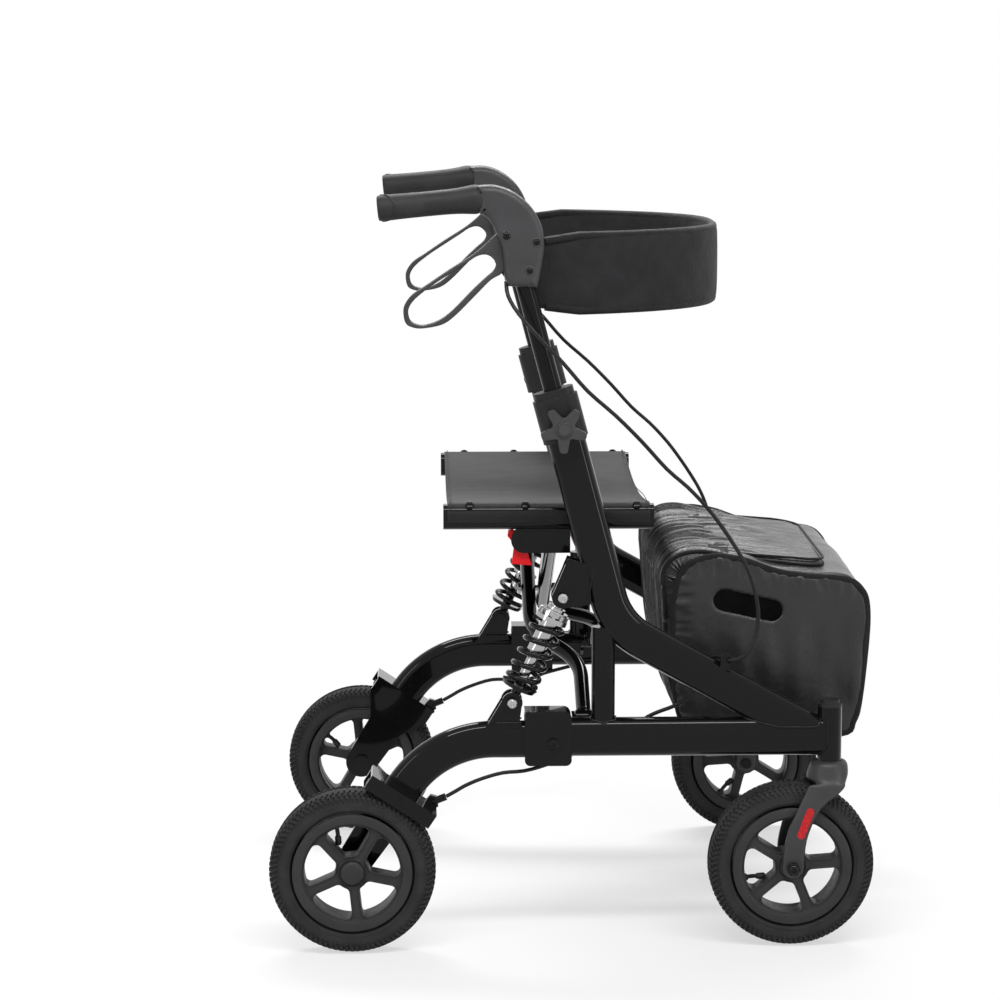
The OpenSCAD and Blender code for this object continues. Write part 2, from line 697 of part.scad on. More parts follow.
// Coil spring: one wire with its end turns closed
spring_mean = (spring_d - wire_d) / 2;
spring_z0 = spring_start + wire_d / 2 + gap;
spring_rise = cup_s - wire_d / 2 - gap - spring_z0;
function coil_rise(t) = let (a = 0.12) t < a ? t * 0.5 : t > 1 - a ? 1 - (1 - t) * 0.5
    : a * 0.5 + (t - a) * (1 - a) / (1 - 2 * a);
coil_steps = round(spring_turns * 8);
coil_path = [for (i = [0:coil_steps]) let (w = 45 * i) [spring_mean * cos(w), spring_mean * sin(w),
    spring_z0 + spring_rise * coil_rise(i / coil_steps)]];
coil_gap = min([for (i = [0:coil_steps - 8]) norm(coil_path[i + 8] - coil_path[i])]) - wire_d;
echo(spring_least_gap = coil_gap);
module shock_spring() {
    color(frame_c) shock_axis() skin([for (i = [0:coil_steps]) let (w = 45 * i,
        c = coil_path[i], out = [cos(w), sin(w), 0])
        [for (j = [0:5]) let (v = 60 * j) c + wire_d / 2 * (cos(v) * out + sin(v) * [0, 0, 1])]]);
}

// Height tube that slides in the upright
module handle_tube() {
    color(frame_c) upright() {
        translate([0, 0, tube_low]) cylinder(r = post_r, h = tube_top - tube_low);
    }
}

// Moulded housing that joins the height tube, the grip and the brake lever
HOUSING = concat(spline([[150, 912.5], [171, 913], [193, 905], [213, 888], [225, 866], [228, 842],
    [225, 818], [220, 794]], 4), [[187, 796]], spline([[182, 806], [179, 836], [172, 858], [163, 874],
    [153, 880.5]], 4));
module housing_outline(less) { offset(r = 4 - less) offset(delta = -4) polygon(HOUSING); }
module handle_housing() {
    color(plastic_c) difference() {
        union() {
            slab(-housing_w / 2, housing_w / 2) housing_outline(6);
            slab(-housing_w / 2 + 2.5, housing_w / 2 - 2.5) housing_outline(3);
            slab(-housing_w / 2 + 6.5, housing_w / 2 - 6.5) housing_outline(0);
        }
        upright() cylinder(r = post_r + 0.1, h = tube_top + 0.1);
        slab(-lever_w / 2 - 1, lever_w / 2 + 1) polygon([[140, 780], [140, 872], [172, 876],
            [196, 862], [192, 838], [188, 780]]);
        grip_axis() cylinder(r = grip_d / 2 + 6, h = grip_len);
    }
    color(steel_c) {
        bar_y(lever_pin, 3, -housing_w / 2 + 0.5, housing_w / 2 - 0.5);
        for (p = [[184, 855], [220, 847], [213, 812]])
            bar_y(p, 4, -housing_w / 2 - 0.8, -housing_w / 2 + 2);
    }
}
module grip_axis() {
    translate([grip_rear[0], 0, grip_rear[1]]) rotate([0, 90 - grip_tilt, 0]) children();
}

// Soft hand grip
module hand_grip() {
    r = grip_d / 2;
    color("#3b3c3e") grip_axis() rotate_extrude() difference() {
        polygon([[0, 0], [r - 2, 0], [r, 2], [r, 10], [r - 1.2, 13], [r - 1.2, grip_len - 26],
            [r + 0.2, grip_len - 12], [r + 1.4, grip_len - 6], [r + 0.6, grip_len - 0.3], [0, grip_len - 0.3]]);
        for (k = [0:7]) translate([r, 26 + 8 * k]) circle(1.6);
    }
}

// Brake lever: a closed finger loop
LEVER = [[175, 861], [165, 850], [150, 841], [116, 813], [79, 784], [63, 766], [65, 750], [78, 743],
    [92, 743], [118, 753], [144, 774], [168, 799], [177, 802], [184, 822], [189, 846], [191, 858], [184, 863]];
LEVER_HOLE = [[158, 834], [120, 804], [86, 778], [73, 762], [76, 753], [90, 751],
    [113, 760], [138, 781], [168, 812], [170, 824], [166, 833]];
module brake_lever() {
    color(plastic_c) slab(-lever_w / 2, lever_w / 2) difference() {
        offset(r = 5) offset(delta = -5) polygon(LEVER);
        translate(lever_pin) circle(3 + run);
        offset(r = 5) offset(delta = -5) polygon(LEVER_HOLE);
    }
}

// Brake cable along its whole route
module brake_cable() { color(frame_c) skin(tube_rings(spline(CABLE, 2), cable_r, 8, [0, 1, 0])); }

// Seat tube with the hinge bracket under it
module seat_tube(hinge_x) {
    y0 = side_y - seat_y;
    hy = side_y - seat_hinge_y;
    color(frame_c) difference() {
        union() {
            translate([seat_x0, y0, seat_tube_z]) rotate([90, 0, 90]) linear_extrude(seat_len)
                oval(seat_tube_h, seat_tube_w);
            for (s = [-1, 1]) translate([hinge_x + s * (lug_w / 2 + gap + ear_t / 2) - ear_t / 2, 0, 0])
                rotate([90, 0, 90]) linear_extrude(ear_t) {
                    translate([hy, seat_hinge_z]) circle(7.5);
                    polygon([[y0 - 3, seat_tube_z - 10], [y0 + 8, seat_tube_z - 8], [hy + 7, seat_hinge_z + 3],
                        [hy, seat_hinge_z - 7.4], [y0 - 3, seat_hinge_z - 14]]);
                }
            slab(y0 - 4, y0 + 1) {
                translate([207, seat_tube_z - 44]) square([55, 32]);
                translate([207, seat_tube_z - 28]) circle(16);
            }
        }
    }
    color(steel_c) {
        bar([hinge_x - lug_w / 2 - ear_t, hy, seat_hinge_z], [hinge_x + lug_w / 2 + ear_t, hy, seat_hinge_z], pin_r);
        bar_y([203, seat_tube_z - 28], 3, y0 - 7, y0 + 9);
    }
}

// Red latch lever on the seat bracket
module fold_latch() {
    y0 = side_y - seat_y + 1 + gap;
    latch_top = seat_tube_z - seat_tube_h / 2 - 0.8;
    color(red_c) slab(y0, y0 + 5) difference() {
        union() {
            translate([203, seat_tube_z - 28]) circle(8);
            polygon([[188, latch_top - 1], [187, latch_top - 8], [195, seat_tube_z - 34],
                [192, seat_tube_z - 58], [216, seat_tube_z - 60], [212, seat_tube_z - 46],
                [210, seat_tube_z - 26], [199, latch_top - 3.5], [193, latch_top]]);
        }
        translate([203, seat_tube_z - 28]) circle(3 + run);
    }
}

// Cross brace bars: bent round tubes with hinge lugs along X at both ends
module cross_bar(foot_x, head_off, side) {
    function at(x, y) = [x, side * y, cross_z + brace_slope * y];
    mid = cross_x + head_off;
    route = [at(foot_x, -brace_y), at(foot_x, -brace_y + 100), at(mid, -brace_y + 152),
        at(mid, seat_hinge_y)];
    color(frame_c) difference() {
        union() {
            for (k = [0:2]) bar(route[k], route[k + 1], brace_r);
            for (k = [1, 2]) translate(route[k]) sphere(r = brace_r + 0.5);
            for (p = [route[0], route[3]]) translate([p[0] - lug_w / 2, p[1], p[2]]) rotate([0, 90, 0])
                cylinder(r = lug_r, h = lug_w);
        }
        for (p = [route[0], route[3]]) translate([p[0] - lug_w, p[1], p[2]]) rotate([0, 90, 0])
            cylinder(r = pin_r + run, h = 2 * lug_w);
        translate([mid - 20, 0, cross_z]) rotate([0, 90, 0]) cylinder(r = pin_r + run, h = 40);
        for (p = [route[0], route[3]]) for (s = [-1, 1]) translate([p[0] + s * (lug_w / 2 + 10), p[1], p[2]])
            rotate([0, 90, 0]) cylinder(r = lug_r + 4, h = 20, center = true);
    }
}

// Bolt through the middle of the brace
module cross_bolt() {
    x0 = cross_x - brace_off - brace_r - 0.5;
    x1 = cross_x + brace_off + brace_r + 0.5;
    color(steel_c) {
        bar([x0, 0, cross_z], [x1, 0, cross_z], pin_r);
        bar([x0 - 4, 0, cross_z], [x0, 0, cross_z], 7);
        bar([x1, 0, cross_z], [x1 + 5, 0, cross_z], 7);
    }
}

// Sling seat over the seat tubes, sagging between them
module seat_sling() {
    half = seat_y + seat_tube_w / 2;
    function drop(y) = let (t = min(1, abs(y) / (seat_y - 6))) -14 * pow(cos(90 * t), 2);
    n = 24;
    ys = [for (j = [0:n]) -half + 2 * half * j / n];
    color(cloth_c) translate([seat_x0 + 4, 0, seat_z + gap]) rotate([90, 0, 90]) linear_extrude(seat_len - 8)
        polygon(concat([for (y = ys) [y, drop(y) + cloth_t]], [for (k = [n:-1:0]) [ys[k], drop(ys[k])]]));
}

// Bag between the frames: crowned sides, a rounded lid and a slanted back
module carry_bag() {
    side = [[bag_x0, 452], [bag_x0 + 36, 458], [bag_x0 + 150, 438], [bag_x0 + 222, 420], [bag_x0 + 234, 385],
        [bag_x0 + 232, 310], [bag_x0 + 224, 262], [bag_x0 + 206, bag_z0], [bag_x0 + 30, bag_z0],
        [bag_x0 - 6, 300], [bag_x0 - 10, 380]];
    mid = [251 + bag_x0 / 2, 350];
    function ring(y, k) = [for (p = side) let (q = mid + k * (p - mid)) [q[0], y, q[1]]];
    h = bag_w / 2;
    color(cloth_c) skin([ring(h, 0.9), ring(h - 1.5, 0.95), ring(h - 5, 0.985), ring(h - 16, 1), ring(0, 1.0),
        ring(16 - h, 1), ring(5 - h, 0.985), ring(1.5 - h, 0.95), ring(-h, 0.9)]);
}

// Padded back strap, curved forward between the handle housings
module back_strap() {
    n = 24;
    thin = 0.4;
    reach = side_y - housing_w / 2 - gap - 7 * thin;
    function fwd(t) = 208 + 240 * pow(1 - pow(abs(t), 2.6), 0.62);
    rows = [for (i = [0:n]) let (t = -1 + 2 * i / n, w = 90 * t) [fwd(sin(w)), reach * sin(w)]];
    half = [for (i = [0:n]) strap_h / 2 - (i < 3 || i > n - 3 ? 10 : 0)];
    color(cloth_c) skin([for (i = [0:n]) let (p = rows[i], a = rows[max(i - 1, 0)], b = rows[min(i + 1, n)],
        t = unit(b - a), out = [t[1], -t[0]], z = 808, k = i < 2 || i > n - 2 ? thin : 1)
        [for (q = [[-4, -1], [4, -1], [7, -0.86], [7, 0.86], [4, 1], [-4, 1], [-7, 0.86], [-7, -0.86]])
            [p[0] + k * q[0] * out[0], p[1] + k * q[0] * out[1], z + q[1] * half[i]]]]);
}

right_side() side_frame(brace_x_right);  // side_frame_right
left_side() side_frame(brace_x_left);  // side_frame_left
right_side() head_cap();  // head_cap_right
left_side() head_cap();  // head_cap_left
right_side() hinge_bolts();  // hinge_bolts_right
left_side() hinge_bolts();  // hinge_bolts_left
right_side() height_collar();  // height_collar_right
left_side() height_collar();  // height_collar_left
right_side() star_knob();  // star_knob_right
left_side() star_knob();  // star_knob_left
right_side() caster_fork();  // caster_fork_right
left_side() caster_fork();  // caster_fork_left
right_side() reflector();  // reflector_right
left_side() reflector();  // reflector_left
right_side() caster_axle();  // caster_axle_right
left_side() caster_axle();  // caster_axle_left
right_side() at_caster_wheel() rim(4, rim_w);  // caster_rim_right
left_side() at_caster_wheel() rim(40, rim_w);  // caster_rim_left
right_side() at_caster_wheel() tyre();  // caster_tyre_right
left_side() at_caster_wheel() tyre();  // caster_tyre_left
right_side() swing_arm();  // swing_arm_right
left_side() swing_arm();  // swing_arm_left
right_side() shock_bolt();  // shock_bolt_right
left_side() shock_bolt();  // shock_bolt_left
right_side() rear_axle();  // rear_axle_right
left_side() rear_axle();  // rear_axle_left
right_side() at_rear_wheel() rim(-12, rim_w);  // rear_rim_right
left_side() at_rear_wheel() rim(24, rim_w);  // rear_rim_left
right_side() at_rear_wheel() tyre();  // rear_tyre_right
left_side() at_rear_wheel() tyre();  // rear_tyre_left
right_side() hub_cap();  // hub_cap_right
left_side() hub_cap();  // hub_cap_left
right_side() brake_arm();  // brake_arm_right
left_side() brake_arm();  // brake_arm_left
right_side() shock_body();  // shock_body_right
left_side() shock_body();  // shock_body_left
right_side() shock_rod();  // shock_rod_right
left_side() shock_rod();  // shock_rod_left
right_side() shock_spring();  // shock_spring_right
left_side() shock_spring();  // shock_spring_left
right_side() handle_tube();  // handle_tube_right
left_side() handle_tube();  // handle_tube_left
right_side() handle_housing();  // handle_housing_right
left_side() handle_housing();  // handle_housing_left
right_side() hand_grip();  // hand_grip_right
left_side() hand_grip();  // hand_grip_left
right_side() brake_lever();  // brake_lever_right
left_side() brake_lever();  // brake_lever_left
right_side() brake_cable();  // brake_cable_right
left_side() brake_cable();  // brake_cable_left
right_side() seat_tube(cross_x + brace_off);  // seat_tube_right
left_side() seat_tube(cross_x - brace_off);  // seat_tube_left
middle() cross_bar(brace_x_right, -brace_off, 1);  // cross_bar_right
middle() cross_bar(brace_x_left, brace_off, -1);  // cross_bar_left
middle() cross_bolt();
right_side() fold_latch();
middle() seat_sling();
middle() carry_bag();
middle() back_strap();
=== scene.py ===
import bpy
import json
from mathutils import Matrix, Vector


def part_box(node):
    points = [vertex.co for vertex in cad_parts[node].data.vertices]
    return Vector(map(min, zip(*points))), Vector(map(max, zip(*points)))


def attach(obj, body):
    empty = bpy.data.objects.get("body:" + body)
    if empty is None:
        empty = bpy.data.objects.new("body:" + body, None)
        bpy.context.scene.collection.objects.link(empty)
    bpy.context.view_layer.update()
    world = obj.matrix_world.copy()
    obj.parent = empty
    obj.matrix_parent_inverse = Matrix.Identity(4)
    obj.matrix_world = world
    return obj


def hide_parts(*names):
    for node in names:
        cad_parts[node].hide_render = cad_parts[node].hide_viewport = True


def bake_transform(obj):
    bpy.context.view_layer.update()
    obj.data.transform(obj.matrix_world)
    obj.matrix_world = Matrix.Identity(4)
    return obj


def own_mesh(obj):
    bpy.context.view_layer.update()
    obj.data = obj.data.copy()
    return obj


bl_info = {
    "name": "All Terrain Rollator",
    "version": (1, 0, 0),
    "blender": (4, 5, 0),
    "location": "View3D > Sidebar > Rollator",
    "description": "Dresses the rollator's frame with tyres, cloth, cables and finishes",
    "category": "Object",
}

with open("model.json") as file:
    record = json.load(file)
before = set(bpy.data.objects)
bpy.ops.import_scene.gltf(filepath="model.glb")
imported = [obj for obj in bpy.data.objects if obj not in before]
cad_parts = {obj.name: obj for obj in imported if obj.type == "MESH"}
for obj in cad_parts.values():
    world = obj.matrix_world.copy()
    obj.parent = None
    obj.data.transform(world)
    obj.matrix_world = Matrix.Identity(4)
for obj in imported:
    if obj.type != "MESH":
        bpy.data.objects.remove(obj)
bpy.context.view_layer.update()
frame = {"nodes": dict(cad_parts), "record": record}

import json
import math

import bpy
from mathutils import Matrix, Vector, noise

TAU = 2 * math.pi
MM = 0.001

# Lengths below are in millimetres, with X from the rear axle, Y from the right
# side frame's mid-plane (outward is minus) and Z from the floor.
axle_low, axle_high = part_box("rear_rim_right")
fork_low, fork_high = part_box("caster_tyre_right")
AXLE_X = (axle_low.x + axle_high.x) / 2
SIDE_Y = (fork_low.y + fork_high.y) / 2
RIGHT = Matrix.Translation((AXLE_X, SIDE_Y, 0)) @ Matrix.Diagonal((MM, MM, MM, 1))
LEFT = Matrix.Diagonal((1, -1, 1, 1)) @ RIGHT
MIDDLE = Matrix.Translation((AXLE_X, 0, 0)) @ Matrix.Diagonal((MM, MM, MM, 1))
SIDES = {"right": RIGHT, "left": LEFT}

WHEEL_Z = 100
WHEEL_OUT = 18
WHEELBASE = 527
RAIL_Z, RAIL_HALF, RAIL_R = 256, 9.5, 14
TUBE_HALF, TUBE_R = 9, 13.5
CORNER = (315, 390)
FALL = math.radians(29)
LEAN = math.radians(15)
HEAD_X, HEAD_R = 572, 14.5
SHOCK_TOP, SHOCK_LOW = Vector((251, 0, 427)), Vector((191, 0, 300))
BAG_HALF = 195
SEAT_Y, SEAT_X, SEAT_LEN, SEAT_Z = 223, 110, 252, 532


# Shader maths

class Wire:
    """A shader socket that takes part in Python expressions."""

    def __init__(self, finish, socket):
        self.finish, self.socket = finish, socket

    def maths(self, operation, *others):
        sockets = {i: value for i, value in enumerate((self, *others))}
        return self.finish.node("ShaderNodeMath", {"operation": operation}, sockets)

    def __add__(self, other):
        return self.maths("ADD", other)

    def __radd__(self, other):
        return self.maths("ADD", other)

    def __sub__(self, other):
        return self.maths("SUBTRACT", other)

    def __rsub__(self, other):
        return self.maths("MULTIPLY_ADD", -1.0, other)

    def __mul__(self, other):
        return self.maths("MULTIPLY", other)

    def __rmul__(self, other):
        return self.maths("MULTIPLY", other)

    def __pow__(self, other):
        return self.maths("POWER", other)

    def sine(self):
        return self.maths("SINE")


class Finish:
    """A material whose nodes are added by expressions."""

    def __init__(self, name, colour, roughness, **constants):
        self.material = bpy.data.materials.new(name)
        self.material.use_nodes = True
        self.tree = self.material.node_tree
        self.shader = self.tree.nodes["Principled BSDF"]
        self.set("Base Color", (*colour, 1))
        self.set("Roughness", roughness)
        for key, value in constants.items():
            self.set(key.replace("_", " "), value)

    def set(self, name, value):
        self.feed(self.shader.inputs[name], value)

    def feed(self, socket, value):
        if isinstance(value, Wire):
            self.tree.links.new(value.socket, socket)
        else:
            socket.default_value = value

    def node(self, kind, settings=None, sockets=None, out=0):
        made = self.tree.nodes.new(kind)
        for key, value in (settings or {}).items():
            if key == "stops":
                for stop, (place, level) in zip(made.color_ramp.elements, value):
                    stop.position, stop.color = place, (level, level, level, 1)
            else:
                setattr(made, key, value)
        for key, value in (sockets or {}).items():
            self.feed(made.inputs[key], value)
        return Wire(self, made.outputs[out])

    def place(self):
        return self.node("ShaderNodeTexCoord", out=3)

    def axes(self):
        place = self.place()
        return [self.node("ShaderNodeSeparateXYZ", sockets={0: place}, out=i) for i in range(3)]

    def grain(self, scale, detail=2.0, out=0):
        return self.node("ShaderNodeTexNoise", sockets={"Vector": self.place(), "Scale": scale,
                                                        "Detail": detail}, out=out)

    def ramp(self, wire, low, high, start=0.0, end=1.0):
        return self.node("ShaderNodeMapRange", sockets={0: wire, 1: start, 2: end, 3: low, 4: high})

    def blend(self, factor, first, second):
        return self.node("ShaderNodeMix", {"data_type": "RGBA"},
                         {0: factor, 6: (*first, 1), 7: (*second, 1)}, out=2)

    def bump(self, height, strength, distance, under=None):
        sockets = {"Height": height, "Strength": strength, "Distance": distance}
        if under is not None:
            sockets["Normal"] = under
        return self.node("ShaderNodeBump", sockets=sockets)

    def rounded(self, radius):
        """Softens the sharp edges of a solid as a paint or a mould does."""
        return self.node("ShaderNodeBevel", {"samples": 4}, {"Radius": radius})


FINISHES = {}


def paint(name, colour, roughness, peel, coat, edge=0.0009):
    """Powder coat on a tube: a little peel, and a clear gloss."""
    made = Finish(name, colour, roughness, Coat_Weight=coat, Coat_Roughness=0.03, Coat_IOR=1.23,
                  Specular_IOR_Level=0.04)
    made.set("Roughness", made.ramp(made.grain(60.0), roughness * 0.8, roughness * 1.35, 0.3, 0.7))
    made.set("Normal", made.bump(made.grain(520.0), peel, 0.0002, made.rounded(edge)))
    return made


def moulded(name, colour, roughness, grain, edge=0.0011, shine=0.2):
    """Moulded plastic with a fine spark-eroded grain."""
    made = Finish(name, colour, roughness, Specular_IOR_Level=shine)
    mottle = made.grain(25.0, 4.0)
    lighter = tuple(c * 1.35 + 0.002 for c in colour)
    made.set("Base Color", made.blend(made.ramp(mottle, 0.0, 1.0, 0.35, 0.7), colour, lighter))
    made.set("Roughness", made.ramp(made.grain(180.0), roughness - 0.06, roughness + 0.08, 0.3, 0.7))
    made.set("Normal", made.bump(made.grain(1900.0, 3.0), grain, 0.00025, made.rounded(edge)))
    return made


def rubber(name, colour, roughness, dust):
    """Rubber with a dusty bloom."""
    made = Finish(name, colour, roughness, Specular_IOR_Level=0.15)
    bloom = made.ramp(made.grain(38.0, 6.0), 0.0, 1.0, 0.4, 0.72)
    made.set("Base Color", made.blend(bloom, colour, tuple(c + dust for c in colour)))
    made.set("Roughness", made.ramp(bloom, roughness - 0.08, roughness + 0.05))
    made.set("Normal", made.bump(made.grain(1400.0, 3.0), 0.35, 0.0003))
    return made


def metal(name, colour, roughness, edge=0.0004):
    """Plated steel with faint turning marks."""
    made = Finish(name, colour, roughness, Metallic=1.0)
    made.set("Roughness", made.ramp(made.grain(240.0, 4.0), roughness * 0.7, roughness * 1.6, 0.3, 0.7))
    made.set("Normal", made.bump(made.grain(700.0), 0.08, 0.0002, made.rounded(edge)))
    return made


def cloth(name, colour, roughness, pitch, crease, sheen, weave=0.5, shine=0.15):
    """Woven cloth: threads crossing at a pitch, and soft creases, with painted shade that darkens the colour in the
    crease hollows and lightens it on the raised folds.
    """
    made = Finish(name, colour, roughness, Sheen_Weight=sheen, Sheen_Roughness=0.4, Specular_IOR_Level=shine)
    x, y, z = [(axis * (TAU / pitch)).sine() for axis in made.axes()]
    threads = x * y + y * z + z * x
    folds = made.grain(crease, 4.0)
    # painted shade: the colour follows the folds' bump height, darker in the crease hollows and lighter on the raised
    # folds
    fold_shade = made.ramp(folds, 0.0, 1.0, 0.3, 0.75)
    made.set("Base Color", made.blend(fold_shade, colour, tuple(c * 1.4 + 0.002 for c in colour)))
    made.set("Roughness", made.ramp(threads, roughness - 0.07, roughness + 0.1, -1.5, 1.5))
    made.set("Normal", made.bump(threads, weave, 0.00022, made.bump(folds, 0.45, 0.006)))
    return made


def make_finishes(look):
    """Makes every finish that the pieces take, under its slot's name."""
    FINISHES.update({
        "frame_paint": paint("gloss_black_paint", look.paint_colour, 0.14, 0.05, 1.0),
        "tube_paint": paint("satin_tube_paint", (0.006, 0.006, 0.0065), 0.28, 0.08, 0.5),
        "black_plastic": moulded("matt_black_plastic", (0.011, 0.011, 0.0115), 0.42, 0.2),
        "moulded_plastic": moulded("dark_grey_plastic", look.plastic_colour, 0.42, 0.25, shine=0.3),
        "wheel_plastic": moulded("wheel_plastic", (0.021, 0.021, 0.022), 0.45, 0.3, shine=0.25),
        "tyre_rubber": rubber("tyre_rubber", look.tyre_colour, 0.72, 0.012),
        "grip_rubber": rubber("grip_rubber", (0.022, 0.022, 0.023), 0.6, 0.01),
        "bolt_steel": metal("bolt_steel", (0.42, 0.42, 0.43), 0.26),
        "damper_chrome": metal("damper_chrome", (0.4, 0.4, 0.4), 0.16),
        "spring_steel": paint("spring_coat", (0.005, 0.005, 0.0055), 0.12, 0.04, 1.0, 0.0001),
        "latch_red": moulded("latch_red", look.red_colour, 0.38, 0.1),
        "cable_black": moulded("cable_sheath", (0.007, 0.007, 0.0075), 0.4, 0.1, 0.0001),
        "seat_cloth": cloth("seat_cloth", (0.008, 0.008, 0.0085), 0.5, 0.0016, 26.0, 0.04),
        "bag_cloth": cloth("bag_cloth", look.bag_colour, 0.27, 0.0012, 17.0, 0.05, 0.25, 0.42),
        "bag_tape": cloth("bag_tape", (0.009, 0.009, 0.0095), 0.55, 0.0014, 60.0, 0.04, 0.8),
        "strap_cloth": cloth("strap_cloth", look.strap_colour, 0.7, 0.0014, 45.0, 0.06),
        "thread": cloth("thread", (0.02, 0.02, 0.021), 0.6, 0.0006, 200.0, 0.05),
        # painted shade: a near-black finish for the sheet behind each bag slot, standing in for the shade inside the
        # bag
        "inside": moulded("painted_shade_opening", (0.0012, 0.0012, 0.0012), 0.9, 0.1, shine=0.05),
        "dark_steel": metal("dark_steel", (0.05, 0.05, 0.052), 0.3),
    })
    deep = tuple(c * 0.45 for c in look.red_colour)
    red = Finish("reflector_red", look.red_colour, 0.2, Coat_Weight=1.0, Coat_IOR=1.25, Specular_IOR_Level=0.15)
    cells = red.node("ShaderNodeTexVoronoi", sockets={"Vector": red.place(), "Scale": 420.0})
    red.set("Base Color", red.blend(red.ramp(cells, 0.0, 1.0, 0.0, 0.8), deep, look.red_colour))
    red.set("Normal", red.bump(cells, 0.8, 0.0006))
    FINISHES["reflector_red"] = red


# Modelling helpers

def only(piece):
    """Selects one piece and makes it active."""
    bpy.ops.object.select_all(action="DESELECT")
    piece.select_set(True)
    bpy.context.view_layer.objects.active = piece


def editing(piece):
    only(piece)
    bpy.ops.object.mode_set(mode="EDIT")
    bpy.ops.mesh.select_all(action="SELECT")


def pick(piece, wanted):
    """Opens a piece for editing with the faces picked that pass a test."""
    only(piece)
    bpy.ops.object.mode_set(mode="EDIT")
    bpy.ops.mesh.select_mode(type="FACE")
    bpy.ops.mesh.select_all(action="DESELECT")
    bpy.ops.object.mode_set(mode="OBJECT")
    for face in piece.data.polygons:
        face.select = wanted(face)
    bpy.ops.object.mode_set(mode="EDIT")


def done_editing():
    bpy.ops.object.mode_set(mode="OBJECT")


def modify(piece, kind, **settings):
    """Adds a modifier, and applies it."""
    only(piece)
    made = piece.modifiers.new(kind.title(), kind)
    for key, value in settings.items():
        setattr(made, key, value)
    bpy.ops.object.modifier_apply(modifier=made.name)


def smooth(piece, angle=32):
    only(piece)
    bpy.ops.object.shade_smooth_by_angle(angle=math.radians(angle))


def loop(name, points):
    """A closed ring of edges through the points."""
    bpy.ops.object.select_all(action="DESELECT")
    bpy.ops.mesh.primitive_circle_add(vertices=len(points), radius=1, fill_type="NOTHING")
    piece = bpy.context.object
    piece.name = name
    for vertex, point in zip(piece.data.vertices, points):
        vertex.co = point
    return piece


def tidy_shell(piece, near=0.01):
    """Merges doubles and turns the faces outwards."""
    editing(piece)
    bpy.ops.mesh.remove_doubles(threshold=near)
    bpy.ops.mesh.normals_make_consistent(inside=False)
    done_editing()


def turned(name, profile, steps, axis=(0, 1, 0), centre=(0, 0, 0)):
    """Spins a closed profile about an axis, as on a lathe."""
    piece = loop(name, profile)
    editing(piece)
    bpy.ops.mesh.spin(steps=steps, angle=TAU, center=centre, axis=axis)
    done_editing()
    tidy_shell(piece)
    return piece


def lathe(name, profile, steps, place=Matrix.Identity(4)):
    """Turns (distance along, radius) pairs about the axis from end to end, closed at both ends."""
    closed = [(0.0, profile[0][0]), *[(r, s) for s, r in profile], (0.0, profile[-1][0])]
    piece = turned(name, [(r, 0, s) for r, s in closed], steps, axis=(0, 0, 1))
    piece.data.transform(place)
    return piece


def swept(name, points, radius, sides=8, smooth_line=True, closed=False, radii=None):
    """A round tube along a line."""
    line = bpy.data.curves.new(name, "CURVE")
    line.dimensions = "3D"
    line.bevel_depth = radius
    line.bevel_resolution = sides // 2 - 2 if sides > 4 else 0
    line.use_fill_caps = not closed
    kind = "NURBS" if smooth_line else "POLY"
    run = line.splines.new(kind)
    run.points.add(len(points) - 1)
    for i, point in enumerate(points):
        run.points[i].co = (*point, 1)
        run.points[i].radius = radii[i] if radii else 1.0
    run.use_cyclic_u = closed
    if smooth_line:
        run.order_u = 4
        run.use_endpoint_u = not closed
        run.resolution_u = 4
    piece = bpy.data.objects.new(name, line)
    bpy.context.scene.collection.objects.link(piece)
    only(piece)
    bpy.ops.object.convert(target="MESH")
    tidy_shell(bpy.context.object, 0.001)
    smooth(bpy.context.object, 60)
    return bpy.context.object


def plate(name, outline, low, high, bevel, holes=(), steps=3, angle=35):
    """A plate drawn in X and Z, from low to high in Y, with rounded edges; its outline keeps its size."""
    line = bpy.data.curves.new(name, "CURVE")
    line.dimensions = "2D"
    line.fill_mode = "BOTH"
    line.extrude = (high - low) / 2 - bevel
    line.bevel_depth = bevel
    line.bevel_resolution = steps
    line.offset = -bevel
    for ring in (outline, *holes):
        run = line.splines.new("POLY")
        run.points.add(len(ring) - 1)
        for i, (x, z) in enumerate(ring):
            run.points[i].co = (x, z, 0, 1)
        run.use_cyclic_u = True
    piece = bpy.data.objects.new(name, line)
    bpy.context.scene.collection.objects.link(piece)
    only(piece)
    bpy.ops.object.convert(target="MESH")
    piece = bpy.context.object
    piece.data.transform(Matrix.Translation((0, (low + high) / 2, 0)) @ Matrix.Rotation(math.pi / 2, 4, "X"))
    tidy_shell(piece, 0.001)
    smooth(piece, angle)
    return piece


def rounded_line(points, steps=4, closed=True):
    """A smooth closed line through the points, as a list of points."""
    n, out = len(points), []
    for i in range(n if closed else n - 1):
        if closed:
            a, b, c, d = (Vector(points[(i + k) % n]) for k in (-1, 0, 1, 2))
        else:
            a, b, c, d = (Vector(points[min(max(i + k, 0), n - 1)]) for k in (-1, 0, 1, 2))
        for k in range(steps):
            t = k / steps
            out.append(0.5 * (2 * b + (c - a) * t + (2 * a - 5 * b + 4 * c - d) * t * t
                              + (3 * b - a - 3 * c + d) * t ** 3))
    if not closed:
        out.append(Vector(points[-1]))
    return [tuple(p) for p in out]


def ring_normals(ring):
    n = len(ring)
    out = []
    for i in range(n):
        ax, az = ring[i - 1]
        bx, bz = ring[(i + 1) % n]
        size = math.hypot(bx - ax, bz - az) or 1
        out.append(((az - bz) / size, (bx - ax) / size))
    return out


def joined(name, pieces):
    """Joins pieces into one."""
    bpy.ops.object.select_all(action="DESELECT")
    for piece in pieces:
        piece.select_set(True)
    bpy.context.view_layer.objects.active = pieces[0]
    bpy.ops.object.join()
    bpy.context.object.name = name
    return bpy.context.object


